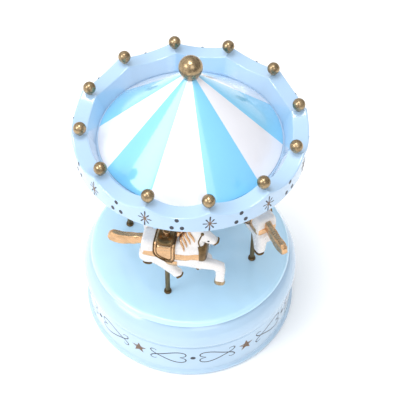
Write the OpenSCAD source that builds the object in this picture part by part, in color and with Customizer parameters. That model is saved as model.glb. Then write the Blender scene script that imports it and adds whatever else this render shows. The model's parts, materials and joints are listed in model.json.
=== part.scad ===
// Carousel music box: four horses on a turntable that an 18-note movement in the base turns.
// Origin: bottom centre of the base, on the axis of rotation. +Z up, -Y is the front. Millimetres.

/* [Base] */
// Radius of the foot bead, the widest part of the base
base_r = 55; // [54.5:0.1:55.5]
// Radius of the printed band
band_r = 53.7; // [53.3:0.1:54]
// Radius of the cavity that holds the movement
cavity_r = 46; // [46:0.1:46.5]
// Height of the fixed base, up to the seam under the turntable
base_h = 37.6; // [37.5:0.1:37.7]

/* [Turntable] */
// Radius of the turntable
turntable_r = 50.8; // [50:0.1:52]
// Height of the turntable's top face
turntable_top = 40.8; // [40.7:0.1:41]
// Radius of the circle that the poles stand on
pole_circle_r = 33; // [32.5:0.1:34]
// Direction of the first pole, from the front towards the right, degrees
pole_angle = -19.3; // [-25:0.1:-15]
// Radius of a brass pole
pole_r = 1.2; // [1.1:0.05:1.3]
// How far each horse is turned inwards from its line of travel, degrees
horse_yaw = [8, 47, 5, 50]; // [0:1:50]

/* [Canopy] */
// Height of the underside of the canopy
canopy_z = 116.5; // [116:0.5:118]
// Outer radius of the crown ring
crown_r = 53.5; // [53:0.1:54]
// Height of the crown ring's points
crown_top = 129; // [128.8:0.1:129.2]
// Depth of a scallop between two points
scallop_depth = 3.8; // [3:0.1:4]
// Number of points and beads around the crown
bead_count = 12; // [12]
// Direction of the first bead, from the front towards the right, degrees
bead_angle = 8.9; // [0:0.1:15]
// Radius of a crown bead
bead_r = 2.95; // [2.8:0.05:3]
// Radius of the roof's rim
roof_r = 42; // [41.5:0.1:42.2]
// Radius of the finial ball
finial_r = 4.9; // [4.8:0.05:5]

/* [Movement] */
// Height of the note cylinder's axis
cylinder_z = 20; // [20]
// Radius of the note cylinder
cylinder_r = 6.6; // [6.4:0.05:6.6]
// Number of comb teeth
note_count = 18; // [18]

/* [Hidden] */
$fn = 96;
small_fn = 32;

// Colours
blue = [0.74, 0.88, 0.97];
white = [0.96, 0.96, 0.98];
gold = [0.72, 0.55, 0.33];
brass = [0.80, 0.64, 0.32];
steel = [0.70, 0.71, 0.73];
zinc = [0.62, 0.63, 0.65];
black = [0.12, 0.12, 0.13];

// Base
foot_bead_r = 1.75;
band_top = 24.3;
band_edge_r = 1.8;
groove_r = 52.3;
groove_top = 25.2;
moulding_low_r = 2.8;
moulding_low_z = 27.3;
moulding_r = 11.6;
moulding_centre = [43.4, 27.6];
web_z = 33;
web_bore_r = 10;
ledge_r = 49;
ledge_z = 3.5;
boss_circle_r = 43.5;
boss_r = 3.8;
screw_r = 1;
plate_r = 48.8;
plate_z = 1.2;
plate_t = 2.2;
screw_head_r = 2.2;
screw_head_t = 1;
bottom_screw_len = 7;
sound_hole_count = 12;
sound_hole_r = 1.8;
sound_hole_circle_r = 20;
pad_r = 4.5;
pad_circle_r = 36;
washer_inner_r = 12;
washer_outer_r = 17;
washer_t = 0.65;

// Turntable and what stands on it
turntable_z = 38.4;
edge_r = turntable_top - turntable_z;
rod_r = 1.5;
hub_r = 9;
hub_z = 35.4;
hub_screw_circle_r = 6;
hub_screw_r = 0.8;
hub_screw_head_r = 1.6;
hub_screw_head_t = 0.8;
socket_depth = 1.6;
ferrule_r = 1.9;
ferrule_h = 1.4;
post_flange_r = 11;
post_r = 7.5;
arbor_top = 37;
arbor_low = 8.6;

// Canopy
board_t = 2.5;
board_r = 46;
board_top = canopy_z + board_t;
wall_low_r = 42.6;
wall_top_r = 46.3;
scallop_r = 27;
bead_circle_r = 49.45;
bead_z = 132.05;
bead_pin_r = 0.6;
bead_pin_len = 7;
roof_lip = 0.6;
roof_t = 2.4;
roof_slope = 0.962;
roof_hole_r = 3.4;
finial_z = 162.2;
collar_r = 2.2;
canopy_screw_circle_r = 44.4;
canopy_screw_angle = 45;

// Horse outlines: along the horse, then up, seen from its outer side, pole at 0
torso = [[-11.4, 84.2], [-12.2, 80], [-12.4, 75], [-13, 71], [-12, 67.8], [-6, 68.4], [5, 68.4],
    [13, 69.4], [17.4, 73], [18.8, 77.5], [18.4, 82], [17, 85], [6, 84.8], [-5, 84.2]];
neck = [[4.6, 84], [7, 90.5], [10.4, 95], [14.6, 97.2], [17.6, 96.6], [20.4, 92.6], [24.2, 88.6],
    [24.2, 86.4], [22.6, 85.6], [20.2, 85.4], [18.4, 84], [18, 78], [8, 78]];
tail = [[-11, 83.2], [-16, 81.8], [-21, 81.3], [-25, 81.8], [-27.2, 82.4], [-28, 80.4], [-27.4, 77],
    [-25.2, 75.6], [-22.2, 75.2], [-17, 76.6], [-11, 78.2]];
fore_leg_out = [[12, 70], [15.2, 69.2], [22.6, 70.6], [23.4, 69], [23.6, 60], [28.4, 60], [28.2, 72.4],
    [27.4, 75], [24, 76.2], [14, 78]];
fore_leg_in = [[10, 71], [17, 72.6], [21.6, 68], [18, 61.4], [13.8, 59.6], [13, 62.2], [16.4, 64.6],
    [17.4, 67.4], [13, 68.6]];
hind_leg_out = [[-9, 70], [3, 70], [6.8, 65.2], [7.8, 61.8], [6, 58.8], [2, 60.6], [-5, 65.4]];
hind_leg_in = [[-12.4, 72], [-5.6, 70], [-7, 66], [-7.6, 60], [-12.4, 60], [-12.2, 65]];
saddle = [[-4.8, 83.8], [-4.9, 86.6], [-3.4, 86], [3.2, 86.2], [4.9, 87.4], [5.6, 84]];
torso_w = 10.4;
neck_w = 5.6;
tail_w = 3;
saddle_w = 10;
leg_w = 4;
leg_offset = 1;
horse_bore_r = pole_r + 0.05;

// Movement bedplate, hung under the web of the base
bed_t = 2.6;
bed_z = web_z - bed_t;
bed_main = [[-17, -14], [38, 25.5]];
bed_wing = [[26, -27.5], [38, -13]];
bed_tab = [[29.5, -30], [33.9, -27]];
bed_limit_r = 44.8;
comb_land = [[13, 15.5], [32, 24.5]];
comb_t = 0.9;
comb_tip_y = 7.35;
comb_root_y = 15;
comb_back_y = 24;
comb_x = 14.65;
comb_pitch = 0.9;
comb_tooth_w = 0.6;
comb_screw_x = [15.6, 22.5, 29.4];
comb_screw_y = 20;
bed_screw_places = [[-13, -10], [-13, 21], [35, 20.5], [20, -11.5]];
bush_r = 3;
shaft_play = 0.05;

// Note cylinder, its axis along X
cylinder_x = [14.5, 31];
cylinder_wall = 0.9;
cylinder_end_t = 1.2;
pin_h = 0.45;
pin_r = 0.18;
pins_per_note = 4;
pin_turn = 137.5;
cylinder_arbor_r = 1;
cylinder_arbor_x = [9.6, 35.3];
bracket_t = 1.5;
bracket_w = 5.6;
bracket_in_x = 12.5;
bracket_out_x = 33.4;
bracket_low = 3;
bracket_foot_t = 1;

// Crown gear on the arbor and the gear that it drives
crown_teeth = 40;
cylinder_teeth = 24;
gear_module = 0.55;
crown_gear_r = 12.1;
crown_tooth_in = 9.8;
crown_pitch_z = cylinder_z + cylinder_teeth * gear_module / 2;
crown_disc_z = crown_pitch_z + 0.8;
crown_disc_t = 2;
crown_tooth_low = crown_pitch_z - 0.4;
crown_tooth_root_w = 0.7;
crown_tooth_tip_w = 0.3;
cylinder_gear_x = [9.8, 12];

// Governor train
train_module = 0.4;
drive_teeth = 36;
pinion_teeth = 12;
wheel_teeth = 30;
worm_module = 0.45;
worm_wheel_teeth = 20;
drive_x = [31.6, 32.6];
pinion_1_x = [31.5, 32.7];
wheel_1_x = [33.3, 34.1];
pinion_2_x = [33.2, 34.2];
worm_wheel_x = [31.5, 32.5];
train_step_1 = (drive_teeth + pinion_teeth) * train_module / 2;
train_step_2 = (wheel_teeth + pinion_teeth) * train_module / 2;
train_drop = 30;
shaft_1 = [-train_step_1, cylinder_z];
shaft_2 = [shaft_1[0] - train_step_2 * cos(train_drop), shaft_1[1] - train_step_2 * sin(train_drop)];
train_shaft_r = 0.6;
train_shaft_x = [28.4, 36.6];
frame_x = [28.6, 36.4];
frame_t = 1.2;
frame_y = [-19.4, -7.9];
frame_low = 12.6;
worm_r = 1.35;
worm_core_r = 0.85;
worm_tip_r = 1.7;
worm_tooth_root_deg = 120;
worm_tooth_tip_deg = 70;
worm_lead = PI * worm_module;
worm_x = 32;
worm_y = shaft_2[0] - worm_wheel_teeth * worm_module / 2 - worm_r;
worm_z = [12.8, 18.8];
worm_turns = (worm_z[1] - worm_z[0]) / worm_lead;
fan_shaft_r = 0.4;
fan_shaft_z = [4.1, 21.3];
fan_bracket_x = [30.3, 33.7];
fan_bracket_y = [-29.8, -28.6];
fan_arm_y = -21.4;
fan_low_z = [3.9, 4.9];
fan_high_z = [20.2, 21.4];
fan_foot_y = -24.4;
vane_r = 5.4;
vane_t = 0.5;
vane_z = [5.6, 10.2];
vane_hub_r = 1.1;
jewel_r = 1.2;
jewel_t = 0.8;

// Mainspring and its housing
housing_r = 9;
housing_wall = 0.8;
housing_z = [9, 25.4];
housing_ear_z = [22, 24];
housing_post_y = 15.2;
housing_post_r = 2;
spring_in = 2.3;
spring_out = 7.7;
spring_turns = 6;
spring_t = 0.35;
spring_z = [10.8, 24.4];
spring_steps = 24;

// Places around the axis: 0 is the front, positive towards the right
function around(r, a, z) = [r * sin(a), -r * cos(a), z];
function pole_place(i) = pole_angle + 90 * i;

// A straight-sided gear: four points for each tooth, one tooth at the given angle
function tooth_ring(teeth, root, tip, root_w, tip_w, first) = [for (i = [0:teeth - 1])
    let (a = first + 360 * i / teeth, rw = root_w / root * 90 / PI, tw = tip_w / tip * 90 / PI)
    for (p = [[root, a - rw], [tip, a - tw], [tip, a + tw], [root, a + rw]])
    [p[0] * cos(p[1]), p[0] * sin(p[1])]];

function spring_point(t, side) = let (r = spring_in + (spring_out - spring_in) * t + side * spring_t / 2,
    a = 360 * spring_turns * t) [r * cos(a), r * sin(a)];

// Children drawn in XY and raised along Z are laid so that their Z runs along X
module along_x(x, y = 0, z = 0) {
    translate([x, y, z]) rotate([90, 0, 90]) children();
}

// A spur gear on an axis along X
module spur_gear(teeth, size, x, place, first, bore) {
    pitch_r = teeth * size / 2;
    along_x(x[0], place[0], place[1]) difference() {
        linear_extrude(x[1] - x[0])
            polygon(tooth_ring(teeth, pitch_r - 1.25 * size, pitch_r + 0.8 * size,
                1.75 * size, 0.65 * size, first));
        translate([0, 0, -1]) cylinder(r = bore, h = x[1] - x[0] + 2, $fn = small_fn);
    }
}

// A cheese-head screw pointing up, its head below z
module screw_up(place, z, head_r, head_t, shank_r, length) {
    translate([place[0], place[1], z]) {
        difference() {
            translate([0, 0, -head_t]) cylinder(r = head_r, h = head_t, $fn = small_fn);
            translate([-head_r, -head_t / 4, -head_t - 1]) cube([2 * head_r, head_t / 2, head_t / 2 + 1]);
        }
        cylinder(r = shank_r, h = length, $fn = small_fn);
    }
}

module screw_hole(place, z, shank_r, length) {
    translate([place[0], place[1], z]) cylinder(r = shank_r, h = length, $fn = small_fn);
}

module block(low, high, z) {
    translate([low[0], low[1], z[0]]) cube([high[0] - low[0], high[1] - low[1], z[1] - z[0]]);
}

module base_section() {
    difference() {
        union() {
            square([base_r - foot_bead_r, 2 * foot_bead_r]);
            translate([base_r - foot_bead_r, foot_bead_r]) circle(foot_bead_r);
            square([band_r, band_top - band_edge_r]);
            square([band_r - band_edge_r, band_top]);
            translate([band_r - band_edge_r, band_top - band_edge_r]) circle(band_edge_r);
            square([groove_r, groove_top]);
            translate([base_r - moulding_low_r, moulding_low_z]) circle(moulding_low_r);
            square([base_r - moulding_low_r, moulding_low_z]);
            intersection() {
                translate(moulding_centre) circle(moulding_r);
                translate([0, moulding_low_z]) square([base_r, base_h - moulding_low_z]);
            }
            translate([0, moulding_low_z]) square([moulding_centre[0], base_h - moulding_low_z]);
        }
        translate([0, band_top]) difference() {
            translate([groove_r, 0]) square([base_r, moulding_low_z - band_top]);
            translate([base_r - moulding_low_r, moulding_low_z - band_top]) circle(moulding_low_r);
        }
        square([ledge_r, ledge_z]);
        square([cavity_r, web_z]);
        square([web_bore_r, base_h + 1]);
    }
}

module base_drum() {
    color(blue) difference() {
        union() {
            rotate_extrude() base_section();
            for (a = [0:90:270]) intersection() {
                translate(around(boss_circle_r, a, ledge_z)) cylinder(r = boss_r, h = web_z - ledge_z + 0.1);
                cylinder(r = cavity_r + 0.1, h = web_z + 1);
            }
        }
        for (a = [0:90:270])
            translate(around(boss_circle_r, a, ledge_z - 1))
                cylinder(r = screw_r, h = bottom_screw_len + 1, $fn = small_fn);
        for (p = bed_screw_places) screw_hole(p, web_z - 1, screw_r, 4.2);
    }
}

module bottom_plate() {
    color(black) difference() {
        translate([0, 0, plate_z]) cylinder(r = plate_r, h = plate_t);
        for (a = [0:90:270]) translate(around(boss_circle_r, a, plate_z - 1)) {
            cylinder(r = screw_r, h = plate_t + 2, $fn = small_fn);
            cylinder(r = screw_head_r + 0.1, h = 1 + screw_head_t, $fn = small_fn);
        }
        for (i = [0:sound_hole_count - 1])
            translate(around(sound_hole_circle_r, 360 * i / sound_hole_count, plate_z - 1))
                cylinder(r = sound_hole_r, h = plate_t + 2, $fn = small_fn);
    }
}

module bottom_screws() {
    color(steel) for (a = [0:90:270])
        screw_up(around(boss_circle_r, a, 0), plate_z + screw_head_t, screw_head_r, screw_head_t,
            screw_r, bottom_screw_len);
}

module foot_pads() {
    color(black) for (a = [45:90:315])
        translate(around(pad_circle_r, a, 0)) cylinder(r = pad_r, h = plate_z);
}

module glide_washer() {
    color(white) translate([0, 0, base_h]) difference() {
        cylinder(r = washer_outer_r, h = washer_t);
        translate([0, 0, -1]) cylinder(r = washer_inner_r, h = washer_t + 2);
    }
}

module movement_bedplate() {
    color(zinc) difference() {
        union() {
            intersection() {
                union() {
                    block(bed_main[0], bed_main[1], [bed_z, web_z]);
                    block(bed_wing[0], bed_wing[1], [bed_z, web_z]);
                }
                cylinder(r = bed_limit_r, h = web_z + 1);
            }
            block(bed_tab[0], bed_tab[1], [bed_z, web_z]);
            block(comb_land[0], comb_land[1], [cylinder_z + comb_t, bed_z + 0.1]);
        }
        translate([0, 0, bed_z - 1]) cylinder(r = bush_r, h = bed_t + 2);
        for (p = bed_screw_places) screw_hole(p, bed_z - 1, screw_r, bed_t + 2);
        for (x = comb_screw_x) screw_hole([x, comb_screw_y], cylinder_z, 0.9, 6.9);
        for (s = [-1, 1]) screw_hole([0, s * housing_post_y], bed_z - 1, hub_screw_r, 2.6);
        for (x = [bracket_in_x + bracket_t + 2, bracket_out_x + bracket_t + 1.4])
            screw_hole([x, 0], bed_z - 1, hub_screw_r, 2.6);
        for (p = governor_screw_places()) screw_hole(p, bed_z - 1, hub_screw_r, 2.6);
    }
}

function governor_screw_places() = [[31.4, (frame_y[0] + frame_y[1]) / 2 - 2.6],
    [31.4, (frame_y[0] + frame_y[1]) / 2 + 3.4], [worm_x, fan_foot_y - 1.6]];

module bedplate_screws() {
    color(steel) for (p = bed_screw_places)
        screw_up(p, bed_z, screw_head_r, screw_head_t, screw_r, bed_t + 3);
}

module arbor_bush() {
    color(brass) translate([0, 0, bed_z - 0.4]) difference() {
        cylinder(r = bush_r, h = bed_t + 0.4);
        translate([0, 0, -1]) cylinder(r = rod_r + shaft_play, h = bed_t + 3);
    }
}

module comb() {
    color(steel) difference() {
        union() {
            block([comb_land[0][0] + 0.5, comb_root_y], [comb_land[1][0] - 0.5, comb_back_y],
                [cylinder_z, cylinder_z + comb_t]);
            for (i = [0:note_count - 1])
                block([comb_x + i * comb_pitch, comb_tip_y],
                    [comb_x + i * comb_pitch + comb_tooth_w, comb_root_y + 0.1],
                    [cylinder_z, cylinder_z + comb_t]);
        }
        for (x = comb_screw_x) screw_hole([x, comb_screw_y], cylinder_z - 1, 0.9, comb_t + 2);
    }
}

module comb_screws() {
    color(steel) for (x = comb_screw_x)
        screw_up([x, comb_screw_y], cylinder_z, 1.6, 1, 0.9, 6);
}

// An upright bearing plate with a foot under the bedplate
module bracket(x, foot) {
    color(brass) difference() {
        union() {
            translate([x, -bracket_w / 2, cylinder_z])
                cube([bracket_t, bracket_w, bed_z - cylinder_z]);
            along_x(x, 0, cylinder_z) cylinder(r = bracket_w / 2, h = bracket_t);
            translate([x, -bracket_w / 2, bed_z - bracket_foot_t])
                cube([bracket_t + foot, bracket_w, bracket_foot_t]);
        }
        along_x(x - 1, 0, cylinder_z) cylinder(r = cylinder_arbor_r + shaft_play, h = bracket_t + 2);
        screw_hole([x + bracket_t + foot / 2, 0], bed_z - bracket_foot_t - 1, hub_screw_r,
            bracket_foot_t + 2);
    }
}

module bracket_inner() { bracket(bracket_in_x, 4); }
module bracket_outer() { bracket(bracket_out_x, 2.8); }

module bracket_screws() {
    color(steel) for (x = [bracket_in_x + bracket_t + 2, bracket_out_x + bracket_t + 1.4])
        screw_up([x, 0], bed_z - bracket_foot_t, 1.3, hub_screw_head_t, hub_screw_r,
            bracket_foot_t + 1.5);
}

module spring_housing() {
    color(zinc) difference() {
        union() {
            translate([0, 0, housing_z[0]]) cylinder(r = housing_r, h = housing_z[1] - housing_z[0]);
            translate([-housing_post_r, -housing_post_y, housing_ear_z[0]])
                cube([2 * housing_post_r, 2 * housing_post_y, housing_ear_z[1] - housing_ear_z[0]]);
            for (s = [-1, 1]) translate([0, s * housing_post_y, housing_ear_z[0]])
                cylinder(r = housing_post_r, h = bed_z - housing_ear_z[0]);
        }
        translate([0, 0, housing_z[0] + 1])
            cylinder(r = housing_r - housing_wall, h = housing_z[1] - housing_z[0]);
        translate([0, 0, housing_z[0] - 1]) cylinder(r = rod_r + shaft_play, h = 4);
        for (s = [-1, 1]) screw_hole([0, s * housing_post_y], housing_ear_z[0] - 1, hub_screw_r,
            bed_z - housing_ear_z[0] + 2);
    }
}

module housing_screws() {
    color(steel) for (s = [-1, 1])
        screw_up([0, s * housing_post_y], housing_ear_z[0], hub_screw_head_r, hub_screw_head_t,
            hub_screw_r, bed_z - housing_ear_z[0] + 1.5);
}

module mainspring() {
    last = spring_steps * spring_turns;
    color(steel) translate([0, 0, spring_z[0]]) linear_extrude(spring_z[1] - spring_z[0])
        polygon(concat([for (i = [0:last]) spring_point(i / last, 1)],
            [for (i = [last:-1:0]) spring_point(i / last, -1)]));
}

// Two side plates joined under the bedplate; they carry both wheel shafts
module governor_frame() {
    color(brass) difference() {
        block([frame_x[0], frame_y[0]], [frame_x[1], frame_y[1]], [frame_low, bed_z]);
        block([frame_x[0] + frame_t, frame_y[0] - 1], [frame_x[1] - frame_t, frame_y[1] + 1],
            [frame_low - 1, bed_z - frame_t]);
        for (s = [shaft_1, shaft_2])
            along_x(frame_x[0] - 1, s[0], s[1])
                cylinder(r = train_shaft_r + shaft_play, h = frame_x[1] - frame_x[0] + 2, $fn = small_fn);
        for (i = [0, 1]) screw_hole(governor_screw_places()[i], bed_z - frame_t - 1, hub_screw_r,
            frame_t + 2);
    }
}

module governor_screws() {
    color(steel) for (p = governor_screw_places())
        screw_up(p, bed_z - frame_t, 1.3, hub_screw_head_t, hub_screw_r, frame_t + 1.5);
}

// C-shaped bracket: the fan's two pivots and the air brake between them
module fan_bracket() {
    strap = [fan_low_z[0], bed_z];
    color(brass) difference() {
        union() {
            block([fan_bracket_x[0], fan_bracket_y[0]], [fan_bracket_x[1], fan_bracket_y[1]], strap);
            for (z = [fan_low_z, fan_high_z])
                block([fan_bracket_x[0], fan_bracket_y[0]], [fan_bracket_x[1], fan_arm_y], z);
            block([fan_bracket_x[0], fan_bracket_y[0]], [fan_bracket_x[1], fan_foot_y],
                [bed_z - frame_t, bed_z]);
        }
        translate([worm_x, worm_y, fan_low_z[0] - 1])
            cylinder(r = fan_shaft_r + shaft_play, h = fan_high_z[1], $fn = small_fn);
        screw_hole(governor_screw_places()[2], bed_z - frame_t - 1, hub_screw_r, frame_t + 2);
    }
}

module fan_jewel() {
    color("crimson") translate([worm_x, worm_y, fan_high_z[1]])
        cylinder(r = jewel_r, h = jewel_t, $fn = small_fn);
}

module turntable() {
    color(blue) difference() {
        rotate_extrude() difference() {
            union() {
                translate([rod_r, turntable_z])
                    square([turntable_r - edge_r - rod_r, turntable_top - turntable_z]);
                intersection() {
                    translate([turntable_r - edge_r, turntable_z]) circle(edge_r);
                    translate([turntable_r - edge_r, turntable_z]) square(edge_r);
                }
            }
        }
        for (i = [0:3]) translate(around(pole_circle_r, pole_place(i), turntable_top - socket_depth))
            cylinder(r = pole_r, h = socket_depth + 1, $fn = small_fn);
        for (a = [0:120:240]) screw_hole(around(hub_screw_circle_r, a, 0), turntable_z - 1,
            hub_screw_r, 2.6);
    }
}

module turntable_hub() {
    color(brass) difference() {
        translate([0, 0, hub_z]) cylinder(r = hub_r, h = turntable_z - hub_z);
        translate([0, 0, hub_z - 1]) cylinder(r = rod_r, h = turntable_z - hub_z + 2);
        for (a = [0:120:240]) screw_hole(around(hub_screw_circle_r, a, 0), hub_z - 1, hub_screw_r,
            turntable_z - hub_z + 2);
    }
}

module hub_screws() {
    color(steel) for (a = [0:120:240])
        screw_up(around(hub_screw_circle_r, a, 0), hub_z, hub_screw_head_r, hub_screw_head_t,
            hub_screw_r, turntable_z - hub_z + 1.5);
}

module winding_arbor() {
    color(steel) translate([0, 0, arbor_low]) cylinder(r = rod_r, h = arbor_top - arbor_low);
}

// Contrate wheel: its teeth point down at the gear on the note cylinder
module crown_gear() {
    color(brass) difference() {
        union() {
            translate([0, 0, crown_disc_z]) cylinder(r = crown_gear_r, h = crown_disc_t);
            for (i = [0:crown_teeth - 1]) rotate([0, 0, 360 * (i + 0.5) / crown_teeth])
                translate([crown_tooth_in, 0, 0]) rotate([90, 0, 90])
                    linear_extrude(crown_gear_r - crown_tooth_in - 0.05)
                        polygon([[-crown_tooth_root_w / 2, crown_disc_z + 0.1],
                            [-crown_tooth_tip_w / 2, crown_tooth_low],
                            [crown_tooth_tip_w / 2, crown_tooth_low],
                            [crown_tooth_root_w / 2, crown_disc_z + 0.1]]);
        }
        translate([0, 0, crown_disc_z - 1]) cylinder(r = rod_r, h = crown_disc_t + 2);
    }
}

module centre_rod() {
    color(steel) translate([0, 0, arbor_top + 0.4])
        cylinder(r = rod_r, h = finial_z - arbor_top - 0.4);
}

module centre_post() {
    h = canopy_z - turntable_top;
    color(white) translate([0, 0, turntable_top]) rotate_extrude() difference() {
        union() {
            for (z = [0, h - 3]) translate([0, z]) square([post_flange_r, 3]);
            for (z = [3, h - 8]) translate([0, z]) square([post_r + 1.5, 5]);
            square([post_r, h]);
            for (z = [h / 3, h / 2, 2 * h / 3]) translate([post_r - 0.5, z]) circle(1.6, $fn = small_fn);
        }
        square([rod_r + 0.1, h]);
    }
}

module pole(i) {
    low = turntable_top - socket_depth;
    color(brass) translate(around(pole_circle_r, pole_place(i), low))
        cylinder(r = pole_r, h = canopy_z + 1.5 - low, $fn = small_fn);
}

module pole_1() { pole(0); }
module pole_2() { pole(1); }
module pole_3() { pole(2); }
module pole_4() { pole(3); }

module pole_ferrules() {
    color(gold) for (i = [0:3]) translate(around(pole_circle_r, pole_place(i), turntable_top))
        difference() {
            cylinder(r = ferrule_r, h = ferrule_h, $fn = small_fn);
            translate([0, 0, -1]) cylinder(r = pole_r, h = ferrule_h + 2, $fn = small_fn);
        }
}

// One flat layer of a horse, from a side outline and its two faces across the horse
module layer(outline, near, far) {
    translate([0, -near, 0]) rotate([90, 0, 0]) linear_extrude(far - near) polygon(outline);
}

// The horse heads along its own X; its outer side faces -Y
module horse(i) {
    color(white) translate(around(pole_circle_r, pole_place(i), 0))
        rotate([0, 0, pole_place(i) + horse_yaw[i]]) difference() {
            union() {
                layer(torso, -torso_w / 2, torso_w / 2);
                layer(neck, -neck_w / 2, neck_w / 2);
                layer(tail, -tail_w / 2, tail_w / 2);
                layer(saddle, -saddle_w / 2, saddle_w / 2);
                for (leg = [fore_leg_out, hind_leg_out]) layer(leg, leg_offset, leg_offset + leg_w);
                for (leg = [fore_leg_in, hind_leg_in]) layer(leg, -leg_offset - leg_w, -leg_offset);
            }
            cylinder(r = horse_bore_r, h = canopy_z, $fn = small_fn);
        }
}

module horse_1() { horse(0); }
module horse_2() { horse(1); }
module horse_3() { horse(2); }
module horse_4() { horse(3); }

module canopy_board() {
    color(white) difference() {
        translate([0, 0, canopy_z]) cylinder(r = board_r, h = board_t);
        translate([0, 0, canopy_z - 1]) cylinder(r = rod_r, h = board_t + 2);
        for (i = [0:3]) translate(around(pole_circle_r, pole_place(i), canopy_z - 1))
            cylinder(r = pole_r, h = 2.5, $fn = small_fn);
        for (i = [0:3]) screw_hole(around(canopy_screw_circle_r, canopy_screw_angle + 90 * i, 0),
            canopy_z - 1, hub_screw_r, board_t + 2);
    }
}

module canopy_screws() {
    color(steel) for (i = [0:3])
        screw_up(around(canopy_screw_circle_r, canopy_screw_angle + 90 * i, 0), canopy_z,
            hub_screw_head_r, hub_screw_head_t, hub_screw_r, board_t + 2);
}

// Ring with a sloping inner wall; its top is scalloped between the beads
module canopy_crown() {
    cut_z = crown_top - scallop_depth + scallop_r;
    color(blue) difference() {
        rotate_extrude() polygon([[board_r + 0.1, canopy_z], [crown_r, canopy_z], [crown_r, crown_top],
            [wall_top_r, crown_top], [wall_low_r, board_top], [board_r + 0.1, board_top]]);
        for (i = [0:bead_count - 1]) rotate([0, 0, bead_angle + 360 * (i + 0.5) / bead_count])
            translate([0, -wall_low_r + 4, cut_z]) rotate([90, 0, 0])
                cylinder(r = scallop_r, h = crown_r - wall_low_r + 6);
        for (i = [0:bead_count - 1])
            translate(around(bead_circle_r, bead_angle + 360 * i / bead_count, bead_z - bead_pin_len))
                cylinder(r = bead_pin_r, h = bead_pin_len, $fn = small_fn);
        for (i = [0:3]) screw_hole(around(canopy_screw_circle_r, canopy_screw_angle + 90 * i, 0),
            board_top - 1, hub_screw_r, 3);
    }
}

module crown_beads() {
    color(gold) for (i = [0:bead_count - 1])
        translate(around(bead_circle_r, bead_angle + 360 * i / bead_count, bead_z)) {
            sphere(bead_r, $fn = small_fn);
            translate([0, 0, -bead_pin_len]) cylinder(r = bead_pin_r, h = bead_pin_len, $fn = small_fn);
        }
}

module canopy_roof() {
    low = board_top;
    color(white) rotate_extrude() polygon([[roof_r - roof_t, low], [roof_r, low], [roof_r, low + roof_lip],
        [roof_hole_r, low + roof_lip + (roof_r - roof_hole_r) * roof_slope],
        [rod_r, low + roof_lip + (roof_r - roof_hole_r) * roof_slope],
        [rod_r, low + (roof_r - roof_t - rod_r) * roof_slope]]);
}

module finial_collar() {
    low = board_top + roof_lip + (roof_r - roof_hole_r) * roof_slope;
    color(gold) translate([0, 0, low]) difference() {
        cylinder(r = collar_r, h = finial_z - finial_r + 0.2 - low, $fn = small_fn);
        translate([0, 0, -1]) cylinder(r = rod_r, h = 4, $fn = small_fn);
    }
}

module finial_ball() {
    color(gold) difference() {
        translate([0, 0, finial_z]) sphere(finial_r);
        translate([0, 0, finial_z - finial_r - 1]) cylinder(r = rod_r, h = finial_r + 1);
    }
}

module note_cylinder() {
    length = cylinder_x[1] - cylinder_x[0];
    color(brass) along_x(cylinder_x[0], 0, cylinder_z) difference() {
        cylinder(r = cylinder_r, h = length);
        translate([0, 0, cylinder_end_t]) cylinder(r = cylinder_r - cylinder_wall, h = length);
        translate([0, 0, -1]) cylinder(r = cylinder_arbor_r, h = 4);
    }
}

module cylinder_pins() {
    color(steel) for (n = [0:note_count - 1], k = [0:pins_per_note - 1])
        along_x(comb_x + comb_tooth_w / 2 + n * comb_pitch, 0, cylinder_z)
            rotate([0, 0, n * pin_turn + k * 360 / pins_per_note + 23 * k * n]) rotate([0, 90, 0])
                translate([0, 0, cylinder_r - 0.02]) cylinder(r = pin_r, h = pin_h, $fn = 6);
}

module cylinder_gear() {
    color(brass) spur_gear(cylinder_teeth, gear_module, cylinder_gear_x, [0, cylinder_z], 90,
        cylinder_arbor_r);
}

module drive_wheel() {
    color(brass) spur_gear(drive_teeth, train_module, drive_x, [0, cylinder_z], 180, cylinder_arbor_r);
}

module cylinder_arbor() {
    color(steel) along_x(cylinder_arbor_x[0], 0, cylinder_z)
        cylinder(r = cylinder_arbor_r, h = cylinder_arbor_x[1] - cylinder_arbor_x[0]);
}

module governor_pinion_1() {
    color(brass) spur_gear(pinion_teeth, train_module, pinion_1_x, shaft_1, 180 / pinion_teeth,
        train_shaft_r);
}

module governor_wheel_1() {
    color(brass) spur_gear(wheel_teeth, train_module, wheel_1_x, shaft_1, 180 + train_drop,
        train_shaft_r);
}

module governor_pinion_2() {
    color(brass) spur_gear(pinion_teeth, train_module, pinion_2_x, shaft_2,
        train_drop + 180 / pinion_teeth, train_shaft_r);
}

module worm_wheel() {
    color(white) spur_gear(worm_wheel_teeth, worm_module, worm_wheel_x, shaft_2, 180, train_shaft_r);
}

module train_shaft(place) {
    color(steel) along_x(train_shaft_x[0], place[0], place[1])
        cylinder(r = train_shaft_r, h = train_shaft_x[1] - train_shaft_x[0], $fn = small_fn);
}

module governor_shaft_1() { train_shaft(shaft_1); }
module governor_shaft_2() { train_shaft(shaft_2); }

// Shaft with a single-start right-hand worm; a thread gap faces the worm wheel's axis
module fan_worm() {
    start = 90 - 360 * (shaft_2[1] + worm_lead / 2 - worm_z[0]) / worm_lead;
    half_root = worm_tooth_root_deg / 2;
    half_tip = worm_tooth_tip_deg / 2;
    arc = 6;
    color(steel) translate([worm_x, worm_y, 0]) {
        translate([0, 0, fan_shaft_z[0]])
            cylinder(r = fan_shaft_r, h = fan_shaft_z[1] - fan_shaft_z[0], $fn = small_fn);
        translate([0, 0, worm_z[0]]) rotate([0, 0, start])
            linear_extrude(worm_z[1] - worm_z[0], twist = -360 * worm_turns, slices = 84, $fn = 14)
                polygon(concat(
                    [for (i = [0:arc]) let (a = -half_tip + 2 * half_tip * i / arc)
                        worm_tip_r * [cos(a), sin(a)]],
                    [for (i = [0:arc]) let (a = half_root + (360 - 2 * half_root) * i / arc)
                        worm_core_r * [cos(a), sin(a)]]));
    }
}

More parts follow.
